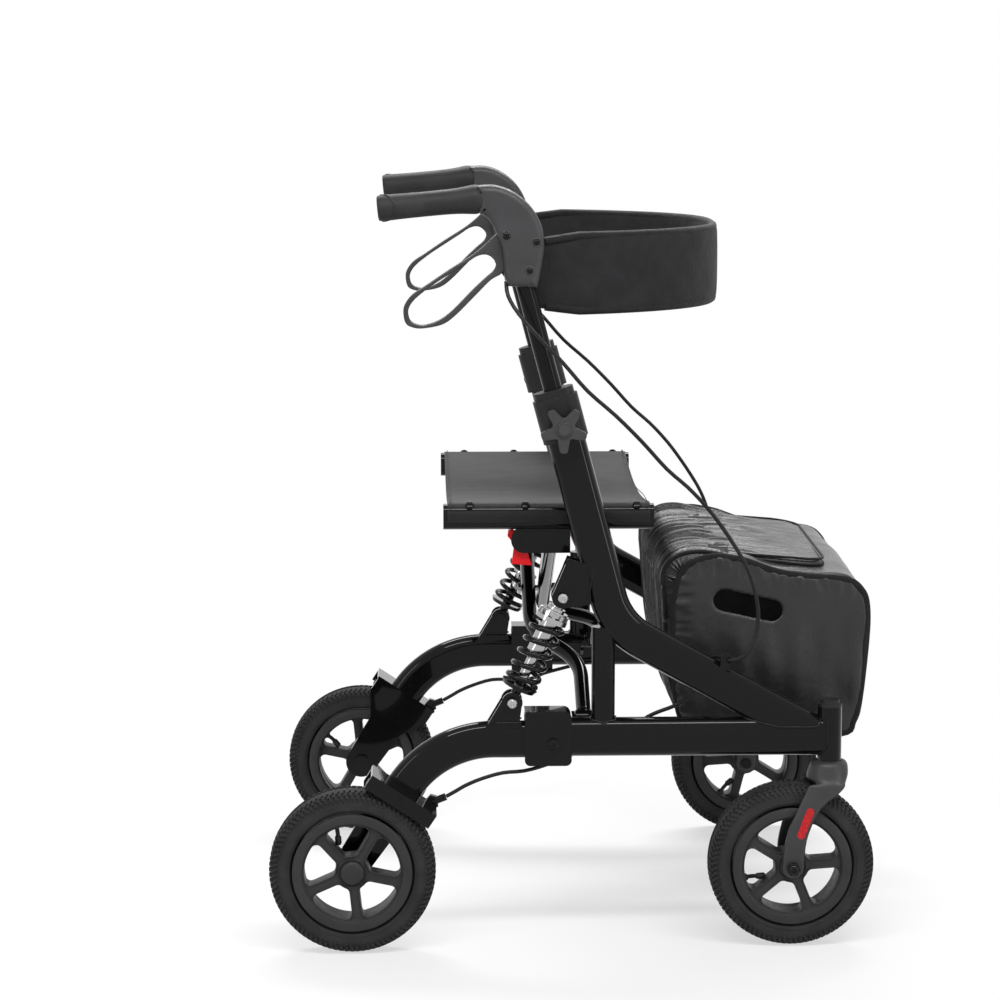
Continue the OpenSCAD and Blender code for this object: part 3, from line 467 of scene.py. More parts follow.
def take(piece, slot, matrix=None, finish=None):
    """Puts a piece's place in its mesh and gives it its finish."""
    if matrix is not None:
        piece.data.transform(matrix)
        if matrix.determinant() < 0:
            piece.data.flip_normals()
    piece.data.materials.clear()
    piece.data.materials.append(FINISHES[finish or slot].material)
    return piece


def twin(piece, name):
    """A copy with its own mesh."""
    only(piece)
    bpy.ops.object.duplicate()
    copy = bpy.context.object
    copy.name = name
    return copy


def both_sides(piece, body, slot, stands_for=(), finish=None, name=None):
    """Makes the right hand piece and its mirror image, and lets each ride on its side's body."""
    base = name or piece.name
    made = {}
    for side, matrix in SIDES.items():
        copy = twin(piece, f"{base}_{side}_look")
        take(copy, slot, matrix, finish)
        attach(copy, f"{body}_{side}")
        if stands_for:
            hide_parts(*[f"{node}_{side}" for node in stands_for])
        made[side] = copy
    bpy.data.objects.remove(piece)
    return made


def socket_bolt(name, at, radius, height, depth=None):
    """A button head with a hexagon socket, facing outwards along -Y."""
    depth = depth or height * 0.6
    head = lathe(name, [(0, radius), (height * 0.45, radius), (height * 0.85, radius * 0.8),
                        (height, radius * 0.55)], 24)
    hexagon = lathe(name + "_hex", [(height - depth, radius * 0.48), (height + 1, radius * 0.48)], 6)
    cut = head.modifiers.new("Socket", "BOOLEAN")
    cut.object, cut.operation, cut.solver = hexagon, "DIFFERENCE", "EXACT"
    only(head)
    bpy.ops.object.modifier_apply(modifier=cut.name)
    bpy.data.objects.remove(hexagon)
    head.data.transform(Matrix.Translation(at) @ Matrix.Rotation(math.pi / 2, 4, "X"))
    smooth(head, 30)
    return head


# Wheels

def tyre_tread(look):
    """One tyre about the origin, with its axle along Y: beads, sidewalls, and tread blocks raised by inset."""
    deep = look.tread_depth / MM
    wall = [(-14, 72.6), (-17.6, 73.4), (-20, 75.0), (-21.3, 77.6), (-21.9, 77.9), (-21.9, 79.0), (-21.5, 79.4),
            (-21.8, 84), (-21.4, 87.4), (-20.4, 90.4), (-18.4, 93.6), (-15.4, 96.2), (-11, 97.4), (-6, 97.9),
            (-1.6, 98.1)]
    profile = wall + [(-y, r) for y, r in reversed(wall)] + [(10, 71.5), (-10, 71.5)]
    steps = look.tread_steps
    piece = turned("tyre", [(r, y, 0) for y, r in profile], steps)
    patterns = ((88.2, 90.6, (0,)), (90.6, 94.0, (0, 1)), (94.0, 96.4, (1, 2)), (96.4, 97.5, (0, 1)),
                (97.5, 97.98, (1, 2)))

    def block(face):
        x, y, z = face.center
        radius = math.hypot(x, z)
        step = int(round(math.atan2(z, x) / TAU * steps - 0.5)) + (1 if y > 0 else 0)
        return any(low < radius < high and step % 3 in chosen for low, high, chosen in patterns)

    pick(piece, block)
    bpy.ops.mesh.inset(thickness=0.35, depth=deep, use_even_offset=True)
    done_editing()
    smooth(piece, 28)
    return piece


def arc(centre, radius, start, end, steps):
    """Points of an arc, from one angle to another."""
    return [(centre[0] + radius * math.cos(start + (end - start) * k / steps),
             centre[1] + radius * math.sin(start + (end - start) * k / steps)) for k in range(steps + 1)]


def spoke_window(index, grow=0.0):
    """One of the five openings between the spokes, with filleted corners."""
    hub, reach, half, fillet = 20.5 - grow, 57.4 + grow, 6.0 - grow, 7.0 + grow
    middle, side = TAU / 10, half + fillet
    outer, inner = math.asin(side / (reach - fillet)), math.asin(side / (hub + fillet))
    ring = arc((0, 0), reach, middle, outer, 8)
    ring += arc((math.sqrt((reach - fillet) ** 2 - side ** 2), side), fillet, outer, -math.pi / 2, 8)
    ring += arc((math.sqrt((hub + fillet) ** 2 - side ** 2), side), fillet, -math.pi / 2, inner - math.pi, 8)
    ring += arc((0, 0), hub, inner, middle, 3)[1:]
    ring = [(math.atan2(z, x), math.hypot(x, z)) for x, z in ring]
    ring += [(2 * middle - a, r) for a, r in ring[-2:0:-1]]
    return [(r * math.cos(a + index * TAU / 5), r * math.sin(a + index * TAU / 5)) for a, r in ring]


def valve(angle):
    """The inner tube's valve, with its cap, standing in a window at an angle."""
    stem = swept("stem", [(59, 2, 0), (53, 1, 0), (47, -1, 1), (43, -3, 2.5)], 2.6)
    cap = lathe("cap", [(0, 3.2), (1, 3.9), (9, 3.9), (11, 2.6)], 14,
                Matrix.Translation((44.5, -2.6, 2)) @ Matrix.Rotation(math.radians(-74), 4, "Y"))
    foot = lathe("foot", [(0, 5.0), (3, 4.4), (4.4, 3)], 14,
                 Matrix.Translation((58.6, 2, 0)) @ Matrix.Rotation(math.radians(-90), 4, "Y"))
    piece = joined("valve", [stem, cap, foot])
    piece.data.transform(Matrix.Rotation(-math.radians(angle), 4, "Y"))
    smooth(piece, 40)
    return piece


def wheel_rim(name):
    """Rim about the origin: a turned ring with lips, a spoked disc with raised edges, and the hub."""
    half = [(-22.6, 60.5), (-23, 62), (-23, 69.6), (-22.2, 71.4), (-20.6, 71.9), (-19.2, 70.8), (-18, 68.2),
            (-8, 67.4)]
    profile = half + [(-y, r) for y, r in reversed(half)] + [(19, 58), (-19, 58)]
    ring = turned(name + "_ring", [(r, y, 0) for y, r in profile], 120)
    disc = plate(name + "_disc", arc((0, 0), 59.5, 0, TAU, 90)[:-1], -18.6, 5, 0.9,
                 [spoke_window(k) for k in range(5)], steps=2)
    ridges = [plate(name + "_ridge", spoke_window(k, 1.5), -20.2, -17.5, 0.6, [spoke_window(k)], steps=2)
              for k in range(5)]
    hub = turned(name + "_hub", [(x, y, 0) for y, x in
                                 ((-21, 5.1), (-21, 14.2), (-20.6, 14.6), (-19.2, 14.6), (-19.2, 15.9), (-21, 16.2),
                                  (-20.6, 17.3), (-20, 17.5), (20, 17.5), (21, 16.6), (21, 5.1))], 64)
    rim = joined(name, [ring, disc, *ridges, hub])
    smooth(rim, 30)
    return rim


class ROLLATOR_OT_wheels(bpy.types.Operator):
    """Makes the four tyres with their tread, the spoked rims and the rear hub caps"""
    bl_idname = "rollator.wheels"
    bl_label = "Wheels"

    def execute(self, context):
        look = context.scene.rollator
        tyre, rim = tyre_tread(look), wheel_rim("rim")
        places = {"rear": (Vector((0, -WHEEL_OUT, WHEEL_Z)), "rear_wheel", 122, -12, 24),
                  "caster": (Vector((WHEELBASE, 0, WHEEL_Z)), "caster_wheel", 196, 4, 40)}
        for kind, (centre, body, window, *turns) in places.items():
            for (side, matrix), turn in zip(SIDES.items(), turns):
                for source, slot in ((tyre, "tyre_rubber"), (rim, "wheel_plastic")):
                    part = "tyre" if source is tyre else "rim"
                    name = f"{kind}_{part}_{side}_look"
                    copy = twin(source, name)
                    if source is rim:
                        copy = joined(name, [copy, valve(window)])
                    spin = Matrix.Rotation(-math.radians(turn), 4, "Y")
                    take(copy, slot, matrix @ Matrix.Translation(centre) @ spin)
                    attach(copy, f"{body}_{side}")
                    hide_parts(f"{kind}_{part}_{side}")
        for source in (tyre, rim):
            bpy.data.objects.remove(source)
        dome = lathe("hub_dome", [(-1.6, 14.2), (0.6, 14.2), (1.6, 13.8), (2.6, 12.6), (3.6, 10.2), (4.2, 7),
                                  (4.5, 3)], 64,
                     Matrix.Translation((0, -WHEEL_OUT - 21, WHEEL_Z)) @ Matrix.Rotation(math.pi / 2, 4, "X"))
        smooth(dome, 40)
        both_sides(dome, "rear_wheel", "wheel_plastic", ["hub_cap"])
        return {"FINISHED"}


# Suspension

def shock_frame():
    """Turns Z to run down the shock absorber from its upper bolt."""
    down = (SHOCK_LOW - SHOCK_TOP).normalized()
    across = Vector((0, 1, 0))
    side = across.cross(down)
    turn = Matrix((side, across, down)).transposed().to_4x4()
    return Matrix.Translation(SHOCK_TOP) @ turn


class ROLLATOR_OT_springs(bpy.types.Operator):
    """Winds the coil springs with closed end turns"""
    bl_idname = "rollator.springs"
    bl_label = "Springs"

    def execute(self, context):
        wire, outer, turns = 6.4, 44, 5.5
        length = (SHOCK_LOW - SHOCK_TOP).length
        low, high = 33 + wire / 2 + 0.3, length - 22.5 - wire / 2 - 0.3
        mean, points = (outer - wire) / 2, []
        count = int(turns * 20)
        for i in range(count + 1):
            t, end = i / count, 0.12
            rise = t * 0.5 if t < end else 1 - (1 - t) * 0.5 if t > 1 - end else \
                end * 0.5 + (t - end) * (1 - end) / (1 - 2 * end)
            turn = TAU * turns * t
            points.append((mean * math.cos(turn), mean * math.sin(turn), low + (high - low) * rise))
        coil = swept("coil_spring", points, wire / 2, 10, smooth_line=False)
        coil.data.transform(shock_frame())
        made = both_sides(coil, "damper", "spring_steel", ["shock_spring"])
        for side, piece in made.items():
            top, foot = (SIDES[side] @ shock_frame() @ Vector((0, 0, z)) for z in (33, length - 22.5))
            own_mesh(piece)
            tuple(top)
        sleeve = lathe("rod_sleeve", [(72, 6.1), (72.4, 6.4), (length - 23.5, 6.4), (length - 23, 6.1)], 32)
        smooth(sleeve, 40)
        sleeve.data.transform(shock_frame())
        both_sides(sleeve, "damper_rod", "damper_chrome")
        return {"FINISHED"}


# Fork and brace

def softened(node, voxel, rounds):
    """A copy of a moulded solid whose creases flow into each other."""
    source = frame["nodes"][node]
    piece = bpy.data.objects.new(f"{node}_look", source.data.copy())
    bpy.context.scene.collection.objects.link(piece)
    piece.data.transform(Matrix.Scale(1 / MM, 4))
    tidy_shell(piece, 0.002)
    modify(piece, "REMESH", mode="VOXEL", voxel_size=voxel)
    crown = piece.vertex_groups.new(name="crown")
    for vertex in piece.data.vertices:
        crown.add([vertex.index], fade(vertex.co.z, 146, 172), "REPLACE")
    modify(piece, "SMOOTH", factor=0.5, iterations=6)
    modify(piece, "SMOOTH", factor=0.5, iterations=rounds, vertex_group="crown")
    smooth(piece, 80)
    piece.data.transform(Matrix.Scale(MM, 4))
    return piece


def brace_route(foot_x, head_off, side):
    """The brace tube's centre line, with its two bends rounded."""
    def at(x, y):
        return Vector((x, side * y, 388 + 0.5 * y))

    corners = [at(foot_x, -232), at(foot_x, -132), at(230 + head_off, -80), at(230 + head_off, 205)]
    route = [corners[0]]
    for before, here, after in zip(corners, corners[1:], corners[2:]):
        start = here + (before - here).normalized() * 36
        end = here + (after - here).normalized() * 36
        for k in range(9):
            t = k / 8
            route.append(start * (1 - t) ** 2 + here * 2 * t * (1 - t) + end * t * t)
    return route + [corners[-1]]


class ROLLATOR_OT_braces(bpy.types.Operator):
    """Bends the cross brace tubes, and softens the moulded forks"""
    bl_idname = "rollator.braces"
    bl_label = "Braces and forks"

    def execute(self, context):
        for side, body, foot_x, head_off, turn in (("right", "brace_a", 279, -10, 1), ("left", "brace_b", 315, 10, -1)):
            route = brace_route(foot_x, head_off, turn)
            tube = swept(f"brace_{side}", route, 9, 24, smooth_line=False)
            ends = [lathe("lug", [(-11, 8.2), (-10.2, 9), (10.2, 9), (11, 8.2)], 40,
                          Matrix.Translation(p) @ Matrix.Rotation(math.pi / 2, 4, "Y")) for p in (route[0], route[-1])]
            beads = []
            for p, after in ((route[0], route[1]), (route[-1], route[-2])):
                along = (after - p).normalized()
                out = Vector((1, 0, 0)).cross(along).normalized()
                across = along.cross(out)
                beads.append(weld("bead", [p + along * (5.5 + 3.2 * abs(math.sin(TAU * k / 32)))
                                           + (across * math.cos(TAU * k / 32) + out * math.sin(TAU * k / 32)) * 9.2
                                           for k in range(33)], 1.1))
            piece = take(joined(f"brace_{side}_look", [tube, *ends, *beads]), "frame_paint", MIDDLE)
            smooth(piece, 40)
            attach(piece, body)
            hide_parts(f"cross_bar_{side}")
            fork = take(softened(f"caster_fork_{side}", 1.4, 90), "moulded_plastic")
            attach(fork, f"fork_{side}")
            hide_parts(f"caster_fork_{side}")
        return {"FINISHED"}


# Welds and bolts

def tube_height(x):
    """Height of the sloping main tube's centre line."""
    return CORNER[1] - (x - CORNER[0]) * math.tan(FALL)


def inside_main_tube(x, y, z):
    across = abs((z - tube_height(x)) * math.cos(FALL))
    return math.hypot(y, max(across - TUBE_HALF, 0)) < TUBE_R


def rail_seam():
    """Line where the sloping main tube lands on the rail, on the outer side."""
    line = []
    for k in range(60):
        x = 466 + k * 1.6
        for turn in range(0, 101):
            a = math.radians(90 - turn * 0.9)
            y, z = -RAIL_R * math.cos(a), RAIL_Z + RAIL_HALF + RAIL_R * math.sin(a)
            if not inside_main_tube(x, y, z):
                line.append((x, y, z))
                break
    return line


def weld(name, line, radius, scallop=4.0, pitch=1.3):
    """A weld bead: a tube along a line whose thickness rises and falls with each drop."""
    points, radii, run = [], [], 0.0
    for a, b in zip(line, line[1:]):
        a, b = Vector(a), Vector(b)
        count = max(1, int((b - a).length / pitch))
        for k in range(count):
            points.append(a.lerp(b, k / count))
            radii.append(0.75 + 0.5 * abs(math.sin(math.pi * run / scallop)))
            run += (b - a).length / count
    points.append(Vector(line[-1]))
    radii.append(0.7)
    radii[0] = 0.6
    return swept(name, points, radius, 8, smooth_line=False, radii=radii)


class ROLLATOR_OT_welds(bpy.types.Operator):
    """Lays the weld beads where the frame's tubes and plates meet"""
    bl_idname = "rollator.welds"
    bl_label = "Weld beads"

    def execute(self, context):
        bead = context.scene.rollator.weld_radius / MM
        seam = [(x, y - 0.2, z - 0.3) for x, y, z in rail_seam()]
        inner = [(x, -y, z) for x, y, z in seam]
        ring = []
        for k in range(33):
            a = TAU * k / 32
            x = 300 + 14.3 * math.cos(a) if abs(math.cos(a)) < 0.7 else 300 + math.copysign(14.2, math.cos(a))
            y = 10.2 * math.sin(a)
            ring.append((x, y, RAIL_Z + RAIL_HALF + math.sqrt(max(RAIL_R ** 2 - y * y, 0))))
        top = []
        for k in range(17):
            x = 293 + 22 * k / 16
            top.append((x, -10.4, 372 - (x - 293) * 0.1))
        head = []
        for k in range(25):
            a = math.pi * (k / 24)
            y = -RAIL_R * math.cos(a) * 0.98
            z = RAIL_Z - RAIL_HALF - RAIL_R * math.sin(a)
            head.append((HEAD_X - math.sqrt(HEAD_R ** 2 - y * y), y, z))
        for y_side in (-1, 1):
            head_line = [(HEAD_X - math.sqrt(HEAD_R ** 2 - 13.7 ** 2), y_side * 13.9, z)
                         for z in range(int(RAIL_Z - RAIL_HALF), 286, 4)]
            head = head_line[::-1] + head if y_side < 0 else head + head_line
        beads = [weld("bead", seam, bead), weld("bead", inner, bead), weld("bead", ring, bead * 1.1),
                 weld("bead", head, bead * 0.9)]
        tab = [Vector((288.5, 0, 462)), Vector((279, 0, 420))]
        for y in (-9 - 3.5, 9 + 3.5):
            edge = [(p.x, y, p.z) for p in (tab[0], tab[0].lerp(tab[1], 0.5), tab[1])]
            beads.append(weld("bead", edge, bead * 0.9))
        both_sides(joined("frame_weld", beads), "frame", "frame_paint")
        lip = []
        for k in range(9):
            y = -12.5 + 25 * k / 8
            lip.append((168, y, 273.2))
        tab_line = [(170, -12.3, 275.6), (182, -12.3, 276), (203, -12.3, 276)]
        arm = [weld("bead", lip, bead), weld("bead", tab_line, bead),
               weld("bead", [(x, -y, z) for x, y, z in tab_line], bead)]
        both_sides(joined("arm_weld", arm), "arm", "frame_paint")
        return {"FINISHED"}


class ROLLATOR_OT_bolts(bpy.types.Operator):
    """Sets the socket bolts on the pivot and the shock, and the nut and screw on each caster axle"""
    bl_idname = "rollator.bolts"
    bl_label = "Bolts and rivets"

    def execute(self, context):
        for name, x, y, z, body, finish in (
                ("pivot_head", 240, -21.3, 251, "frame", "spring_steel"),
                ("upper_head", SHOCK_TOP.x, -16.8, SHOCK_TOP.z, "frame", "bolt_steel"),
                ("lower_head", SHOCK_LOW.x, -16.3, SHOCK_LOW.z, "arm", "bolt_steel")):
            both_sides(socket_bolt(name, (x, y, z), 5.9, 3.4), body, "bolt_steel", finish=finish)
        hexagon = lathe("axle_nut", [(0, 8.6), (2.4, 8.6), (3.2, 7.6)], 6,
                        Matrix.Translation((WHEELBASE, -36.8, WHEEL_Z)) @ Matrix.Rotation(math.pi / 2, 4, "X"))
        screw = socket_bolt("axle_screw", (WHEELBASE, -39.8, WHEEL_Z), 5.6, 2.6)
        both_sides(joined("axle_nut", [hexagon, screw]), "fork", "bolt_steel", finish="spring_steel")
        return {"FINISHED"}


# Handles

HOUSING = rounded_line([(150, 912.5), (171, 913), (193, 905), (213, 888), (225, 866), (228, 842),
                        (225, 818), (220, 794)], 5, False) + [(187, 796)] + \
    rounded_line([(182, 806), (179, 836), (172, 858), (163, 874), (153, 880.5)], 5, False)
LEVER = rounded_line([(64, 762), (67, 752), (75, 747.6), (87, 746.6), (109, 751), (125, 762), (148, 785), (166, 803),
                      (179, 811), (185, 824), (188, 846), (190, 857), (184, 863), (172, 856), (159, 843.6),
                      (143, 831), (117, 814.6), (91, 797), (74, 785.6), (65, 773)], 4)
LEVER_HOLE = rounded_line([(71.6, 762), (74, 756), (80, 752.8), (88, 752), (104, 757), (120, 768.5), (143, 792),
                           (159, 807), (168, 815), (170, 823), (162, 830.5), (151, 829.4), (138, 821), (117, 807.5),
                           (96, 793.6), (79, 780), (72, 770)], 4)


def grip_frame():
    tilt = math.radians(5.3)
    along = Vector((math.cos(tilt), 0, math.sin(tilt)))
    across = Vector((0, 1, 0))
    turn = Matrix((across.cross(along), across, along)).transposed().to_4x4()
    return Matrix.Translation((34, 0, 886)) @ turn


class ROLLATOR_OT_handles(bpy.types.Operator):
    """Models the handle housings with their screws, the hand grips, the brake levers and the cable ends"""
    bl_idname = "rollator.handles"
    bl_label = "Handles"

    def execute(self, context):
        shell = plate("housing", HOUSING, -16, 16, 8.2, steps=8, angle=60)
        bolts, rings = [], []
        for x, z, radius in ((184, 855, 4.4), (219, 847.5, 3.6), (211, 814.5, 3.6)):
            bolts.append(socket_bolt("housing_screw", (x, -16.0, z), radius, 1.7))
            rings.append(turned("screw_ring", [(x + r, y, z) for r, y in (
                (radius + 0.3, -15.2), (radius + 0.3, -16.5), (radius + 1.0, -16.9), (radius + 1.9, -16.4),
                (radius + 2.2, -15.2))], 32, centre=(x, 0, z)))
        both_sides(joined("housing_screws", bolts), "handle", "bolt_steel", finish="spring_steel")
        both_sides(joined("screw_rings", rings), "handle", "moulded_plastic")
        both_sides(shell, "handle", "moulded_plastic", ["handle_housing"])
        profile = [(0, 11.5), (0.8, 14.2), (2.5, 15.2), (10, 15.4), (30, 14.6), (70, 14.4), (88, 14.7), (98, 15.4),
                   (106, 16.4), (112, 17.1), (116.0, 17.2), (117.2, 16.6), (118.0, 16.4), (122.5, 16.4), (123.0, 15)]
        grip = lathe("grip", profile, 56)
        for vertex in grip.data.vertices:
            x, y, z = vertex.co
            if 14 < z < 92:
                angle = math.atan2(y, -x)
                wave = 0.5 * math.cos(z * TAU / 9) if abs(angle) < 0.9 else 0
                vertex.co.x, vertex.co.y = x * (1 + wave / 40), y * (1 + wave / 40)
        modify(grip, "SUBSURF", levels=1, render_levels=1)
        ridge = []
        for k in range(21):
            a = math.radians(-95 + 190 * k / 20)
            ridge.append((15.0 * math.cos(a), -15.0 * math.cos(a * 0.62), 3 + 17 * (1 - (k / 20 * 2 - 1) ** 2) ** 0.8))
        rib = swept("grip_rib", [(-15.3 * math.sin(math.radians(-90 + 9 * k)),
                                  -15.3 * math.cos(math.radians(-90 + 9 * k)),
                                  5 + 15 * math.sin(math.radians(9 * k)) ** 0.7) for k in range(21)], 0.9, 6)
        grip = joined("grip", [grip, rib])
        grip.data.transform(grip_frame())
        smooth(grip, 40)
        both_sides(grip, "handle", "grip_rubber", ["hand_grip"])
        slim = [(x - nx * 1.7, z - nz * 1.7) for (x, z), (nx, nz) in zip(LEVER_HOLE, ring_normals(LEVER_HOLE))]
        lever = plate("lever", LEVER, -6.5, 6.5, 1.3, [slim], steps=3, angle=50)
        both_sides(lever, "lever", "moulded_plastic", ["brake_lever"])
        ferrule = lathe("cable_end", [(0, 2.6), (1, 3.4), (9, 3.4), (10, 2.8), (16, 2.6)], 18,
                        Matrix.Translation((186, -2, 812)) @ Matrix.Rotation(math.radians(184), 4, "Y"))
        both_sides(ferrule, "handle", "bolt_steel")
        return {"FINISHED"}


# Cables

CABLE = [(184, -2, 801), (186, -10, 785), (198, -22, 765), (222, -31, 738), (250, -36, 708), (278, -38, 676),
         (311, -38, 647), (342, -37, 616), (371, -36, 584), (396, -34, 562), (416, -32, 541), (432, -30, 521),
         (452, -28, 492), (466, -26, 468), (475, -24, 445), (481, -22, 420), (482, -21, 398), (478, -20, 376),
         (466, -18.5, 357), (450, -11, 350.5), (440, 0, 352), (432, 11.5, 350.5), (425, 16.5, 341),
         (419, 17.5, 327), (412, 17.5, 312), (402, 17.5, 299), (387, 17.5, 289), (366, 17.5, 281), (350, 18.5, 272),
         (339, 20, 256), (326, 20, 243), (300, 20, 238), (276, 20.5, 232), (250, 21, 225), (232, 17.5, 217),
         (206, 5, 213), (180, 0, 212), (155, 0, 205), (136, 0, 197), (124, 0, 190), (112.5, 0, 183.5)]
CLIP = 20
CABLE_D = 4.8


def path_length(points):
    return sum((Vector(b) - Vector(a)).length for a, b in zip(points, points[1:]))


class ROLLATOR_OT_cables(bpy.types.Operator):
    """Runs each brake cable from the handle to its clip, and on to the brake"""
    bl_idname = "rollator.cables"
    bl_label = "Brake cables"

    def execute(self, context):
        line = rounded_line(CABLE, 3, False)
        cut = CLIP * 3
        up = Vector((-math.sin(LEAN), 0, math.cos(LEAN)))
        for side, matrix in SIDES.items():
            for part, points in (("upper", line[:cut + 1]), ("lower", line[cut:])):
                tube = swept(f"cable_{part}_{side}_look", points, CABLE_D / 2, 10, smooth_line=False)
                take(tube, "cable_black", matrix)
                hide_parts(f"brake_cable_{side}")
                route = [matrix @ Vector(p) for p in points]
                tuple(route[0])
                path_length(route)
                if part == "upper":
                    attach(tube, f"frame_{side}")
                    rise = (route[0] - route[-1]).dot(up)
                    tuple(route[-1])
                    1 - 0.1 / rise
                    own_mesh(tube)
                else:
                    matrix @ Vector((250, 0, 225))
                    matrix @ Vector((206, 0, 225))
                    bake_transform(tube)
        return {"FINISHED"}


# Cloth

def grid_cloth(name, across, along, place):
    """A sheet of quads: place(u, v) gives each corner, with u and v from 0 to 1."""
    bpy.ops.object.select_all(action="DESELECT")
    bpy.ops.mesh.primitive_grid_add(x_subdivisions=across, y_subdivisions=along, size=1)
    piece = bpy.context.object
    piece.name = name
    for vertex in piece.data.vertices:
        vertex.co = place(vertex.co.x + 0.5, vertex.co.y + 0.5)
    return piece


def hang(piece, pinned, frames, gravity=1.0, pressure=0.0, **settings):
    """Lets a piece settle as cloth with some points held, and keeps the result."""
    group = piece.vertex_groups.new(name="held")
    group.add(pinned, 1.0, "REPLACE")
    only(piece)
    made = piece.modifiers.new("Cloth", "CLOTH")
    made.settings.vertex_group_mass = "held"
    made.settings.quality = 6
    made.settings.effector_weights.gravity = gravity
    if pressure:
        made.settings.use_pressure = True
        made.settings.uniform_pressure_force = pressure
    for key, value in settings.items():
        setattr(made.settings, key, value)
    scene = bpy.context.scene
    for number in range(1, frames + 1):
        scene.frame_set(number)
    bpy.ops.object.modifier_apply(modifier=made.name)
    scene.frame_set(1)


class ROLLATOR_OT_seat(bpy.types.Operator):
    """Hangs the sling seat between the seat tubes and rivets it to them"""
    bl_idname = "rollator.seat"
    bl_label = "Sling seat"

    def execute(self, context):
        look = context.scene.rollator
        half, drop = SEAT_Y + 11.6, look.seat_sag / MM
        side_fall = 12.0

        def section(u):
            """Line over the right tube, across the sag and over the left tube."""
            run = side_fall * 2 + half * 2
            s = u * run
            if s < side_fall:
                return -half, SEAT_Z - 9 - side_fall + s
            if s > run - side_fall:
                return half, SEAT_Z - 9 - (s - (run - side_fall))
            y = s - side_fall - half
            edge = max(0.0, abs(y) - (half - 11)) / 11
            crown = SEAT_Z + 1.4 - 9.5 * (1 - math.sqrt(max(0.0, 1 - edge * edge)))
            sag = math.cos(min(1, abs(y) / (SEAT_Y - 4)) * math.pi / 2)
            return y, crown - drop * sag * sag

        def place(u, v):
            y, z = section(u)
            return Matrix(MIDDLE) @ Vector((SEAT_X + 5 + (SEAT_LEN - 10) * v, y, z))

        sheet = grid_cloth("sling_look", 84, 36, place)
        held = [v.index for v in sheet.data.vertices if abs(v.co.y) > (SEAT_Y - 7) * MM]
        hang(sheet, held, 14, 0.12, tension_stiffness=60, compression_stiffness=60)
        modify(sheet, "SOLIDIFY", thickness=0.0022, offset=1)
        smooth(sheet, 50)
        take(sheet, "seat_cloth")
        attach(sheet, "seat_right")
        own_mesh(sheet)
        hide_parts("seat_sling")
        lines = []
        for x in (SEAT_X + 8.5, SEAT_X + SEAT_LEN - 8.5):
            row = [(x, *section(u / 80)) for u in range(2, 79)]
            lines.append(swept("seam", [(a, b, c + 1.9) for a, b, c in row], 0.55, 6, smooth_line=False))
        seams = take(joined("sling_seams_look", lines), "seat_cloth", MIDDLE, "thread")
        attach(seams, "seat_right")
        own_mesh(seams)
        rivets = {-1: [], 1: []}
        for side in rivets:
            for x in (141.5, 208, 274.5, 341):
                turn = Matrix.Rotation(math.radians(side * -48), 4, "X")
                rivets[side].append(lathe("rivet", [(0, 5.2), (1.2, 5.0), (2.0, 3.4), (2.3, 1.2)], 20, Matrix.Translation(
                    (x, side * (SEAT_Y + 7.4), SEAT_Z - 1.2)) @ turn))
        for side, body in ((-1, "seat_right"), (1, "seat_left")):
            row = take(joined(f"snap_rivets_{body}", rivets[side]), "bolt_steel", MIDDLE, "frame_paint")
            smooth(row, 40)
            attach(row, body)
        return {"FINISHED"}


PANEL = [(393, 427), (404, 448), (419, 458), (441, 462), (459, 460), (478, 456), (515, 443), (553, 437), (599, 433),
         (618, 420), (625, 400), (625, 360), (618, 285), (611, 257), (595, 241), (500, 240), (421, 241), (401, 258),
         (392, 300), (388, 380)]
POUCH = [(380, 425), (386, 447), (399, 458), (419, 462), (441, 461), (478, 456), (515, 445), (553, 440), (598, 436),
         (617, 422), (624, 400), (624, 360), (617, 285), (609, 256), (594, 242), (500, 241), (427, 242), (404, 256),
         (390, 300), (381, 370)]
LID = (424, 580, 152)


def pleat(y, seed):
    """Height of the gathers across the bag, in millimetres."""
    return 2.0 * math.sin(y / 2.1 + seed) + 1.4 * math.sin(y / 3.4 + 2 * seed) + 1.0 * math.sin(y / 1.45 + 3 * seed)


def fade(value, start, end):
    """Rises smoothly from 0 at the start to 1 at the end."""
    t = max(0.0, min(1.0, (value - start) / (end - start)))
    return t * t * (3 - 2 * t)


def sewn_shut(piece):
    """Merges the doubles, closes the open ends and turns the faces outwards."""
    editing(piece)
    bpy.ops.mesh.remove_doubles(threshold=0.02)
    bpy.ops.mesh.select_all(action="DESELECT")
    bpy.ops.mesh.select_mode(type="EDGE")
    bpy.ops.mesh.select_non_manifold()
    bpy.ops.mesh.fill_holes(sides=0)
    bpy.ops.mesh.select_all(action="SELECT")
    bpy.ops.mesh.normals_make_consistent(inside=False)
    done_editing()


def collar_lift(x, y, z):
    """How far the gathered collar stands up behind the panel."""
    return 4.0 * fade(x, 470, 400) * fade(z, 400, 445) * fade(abs(y), 60, 165)


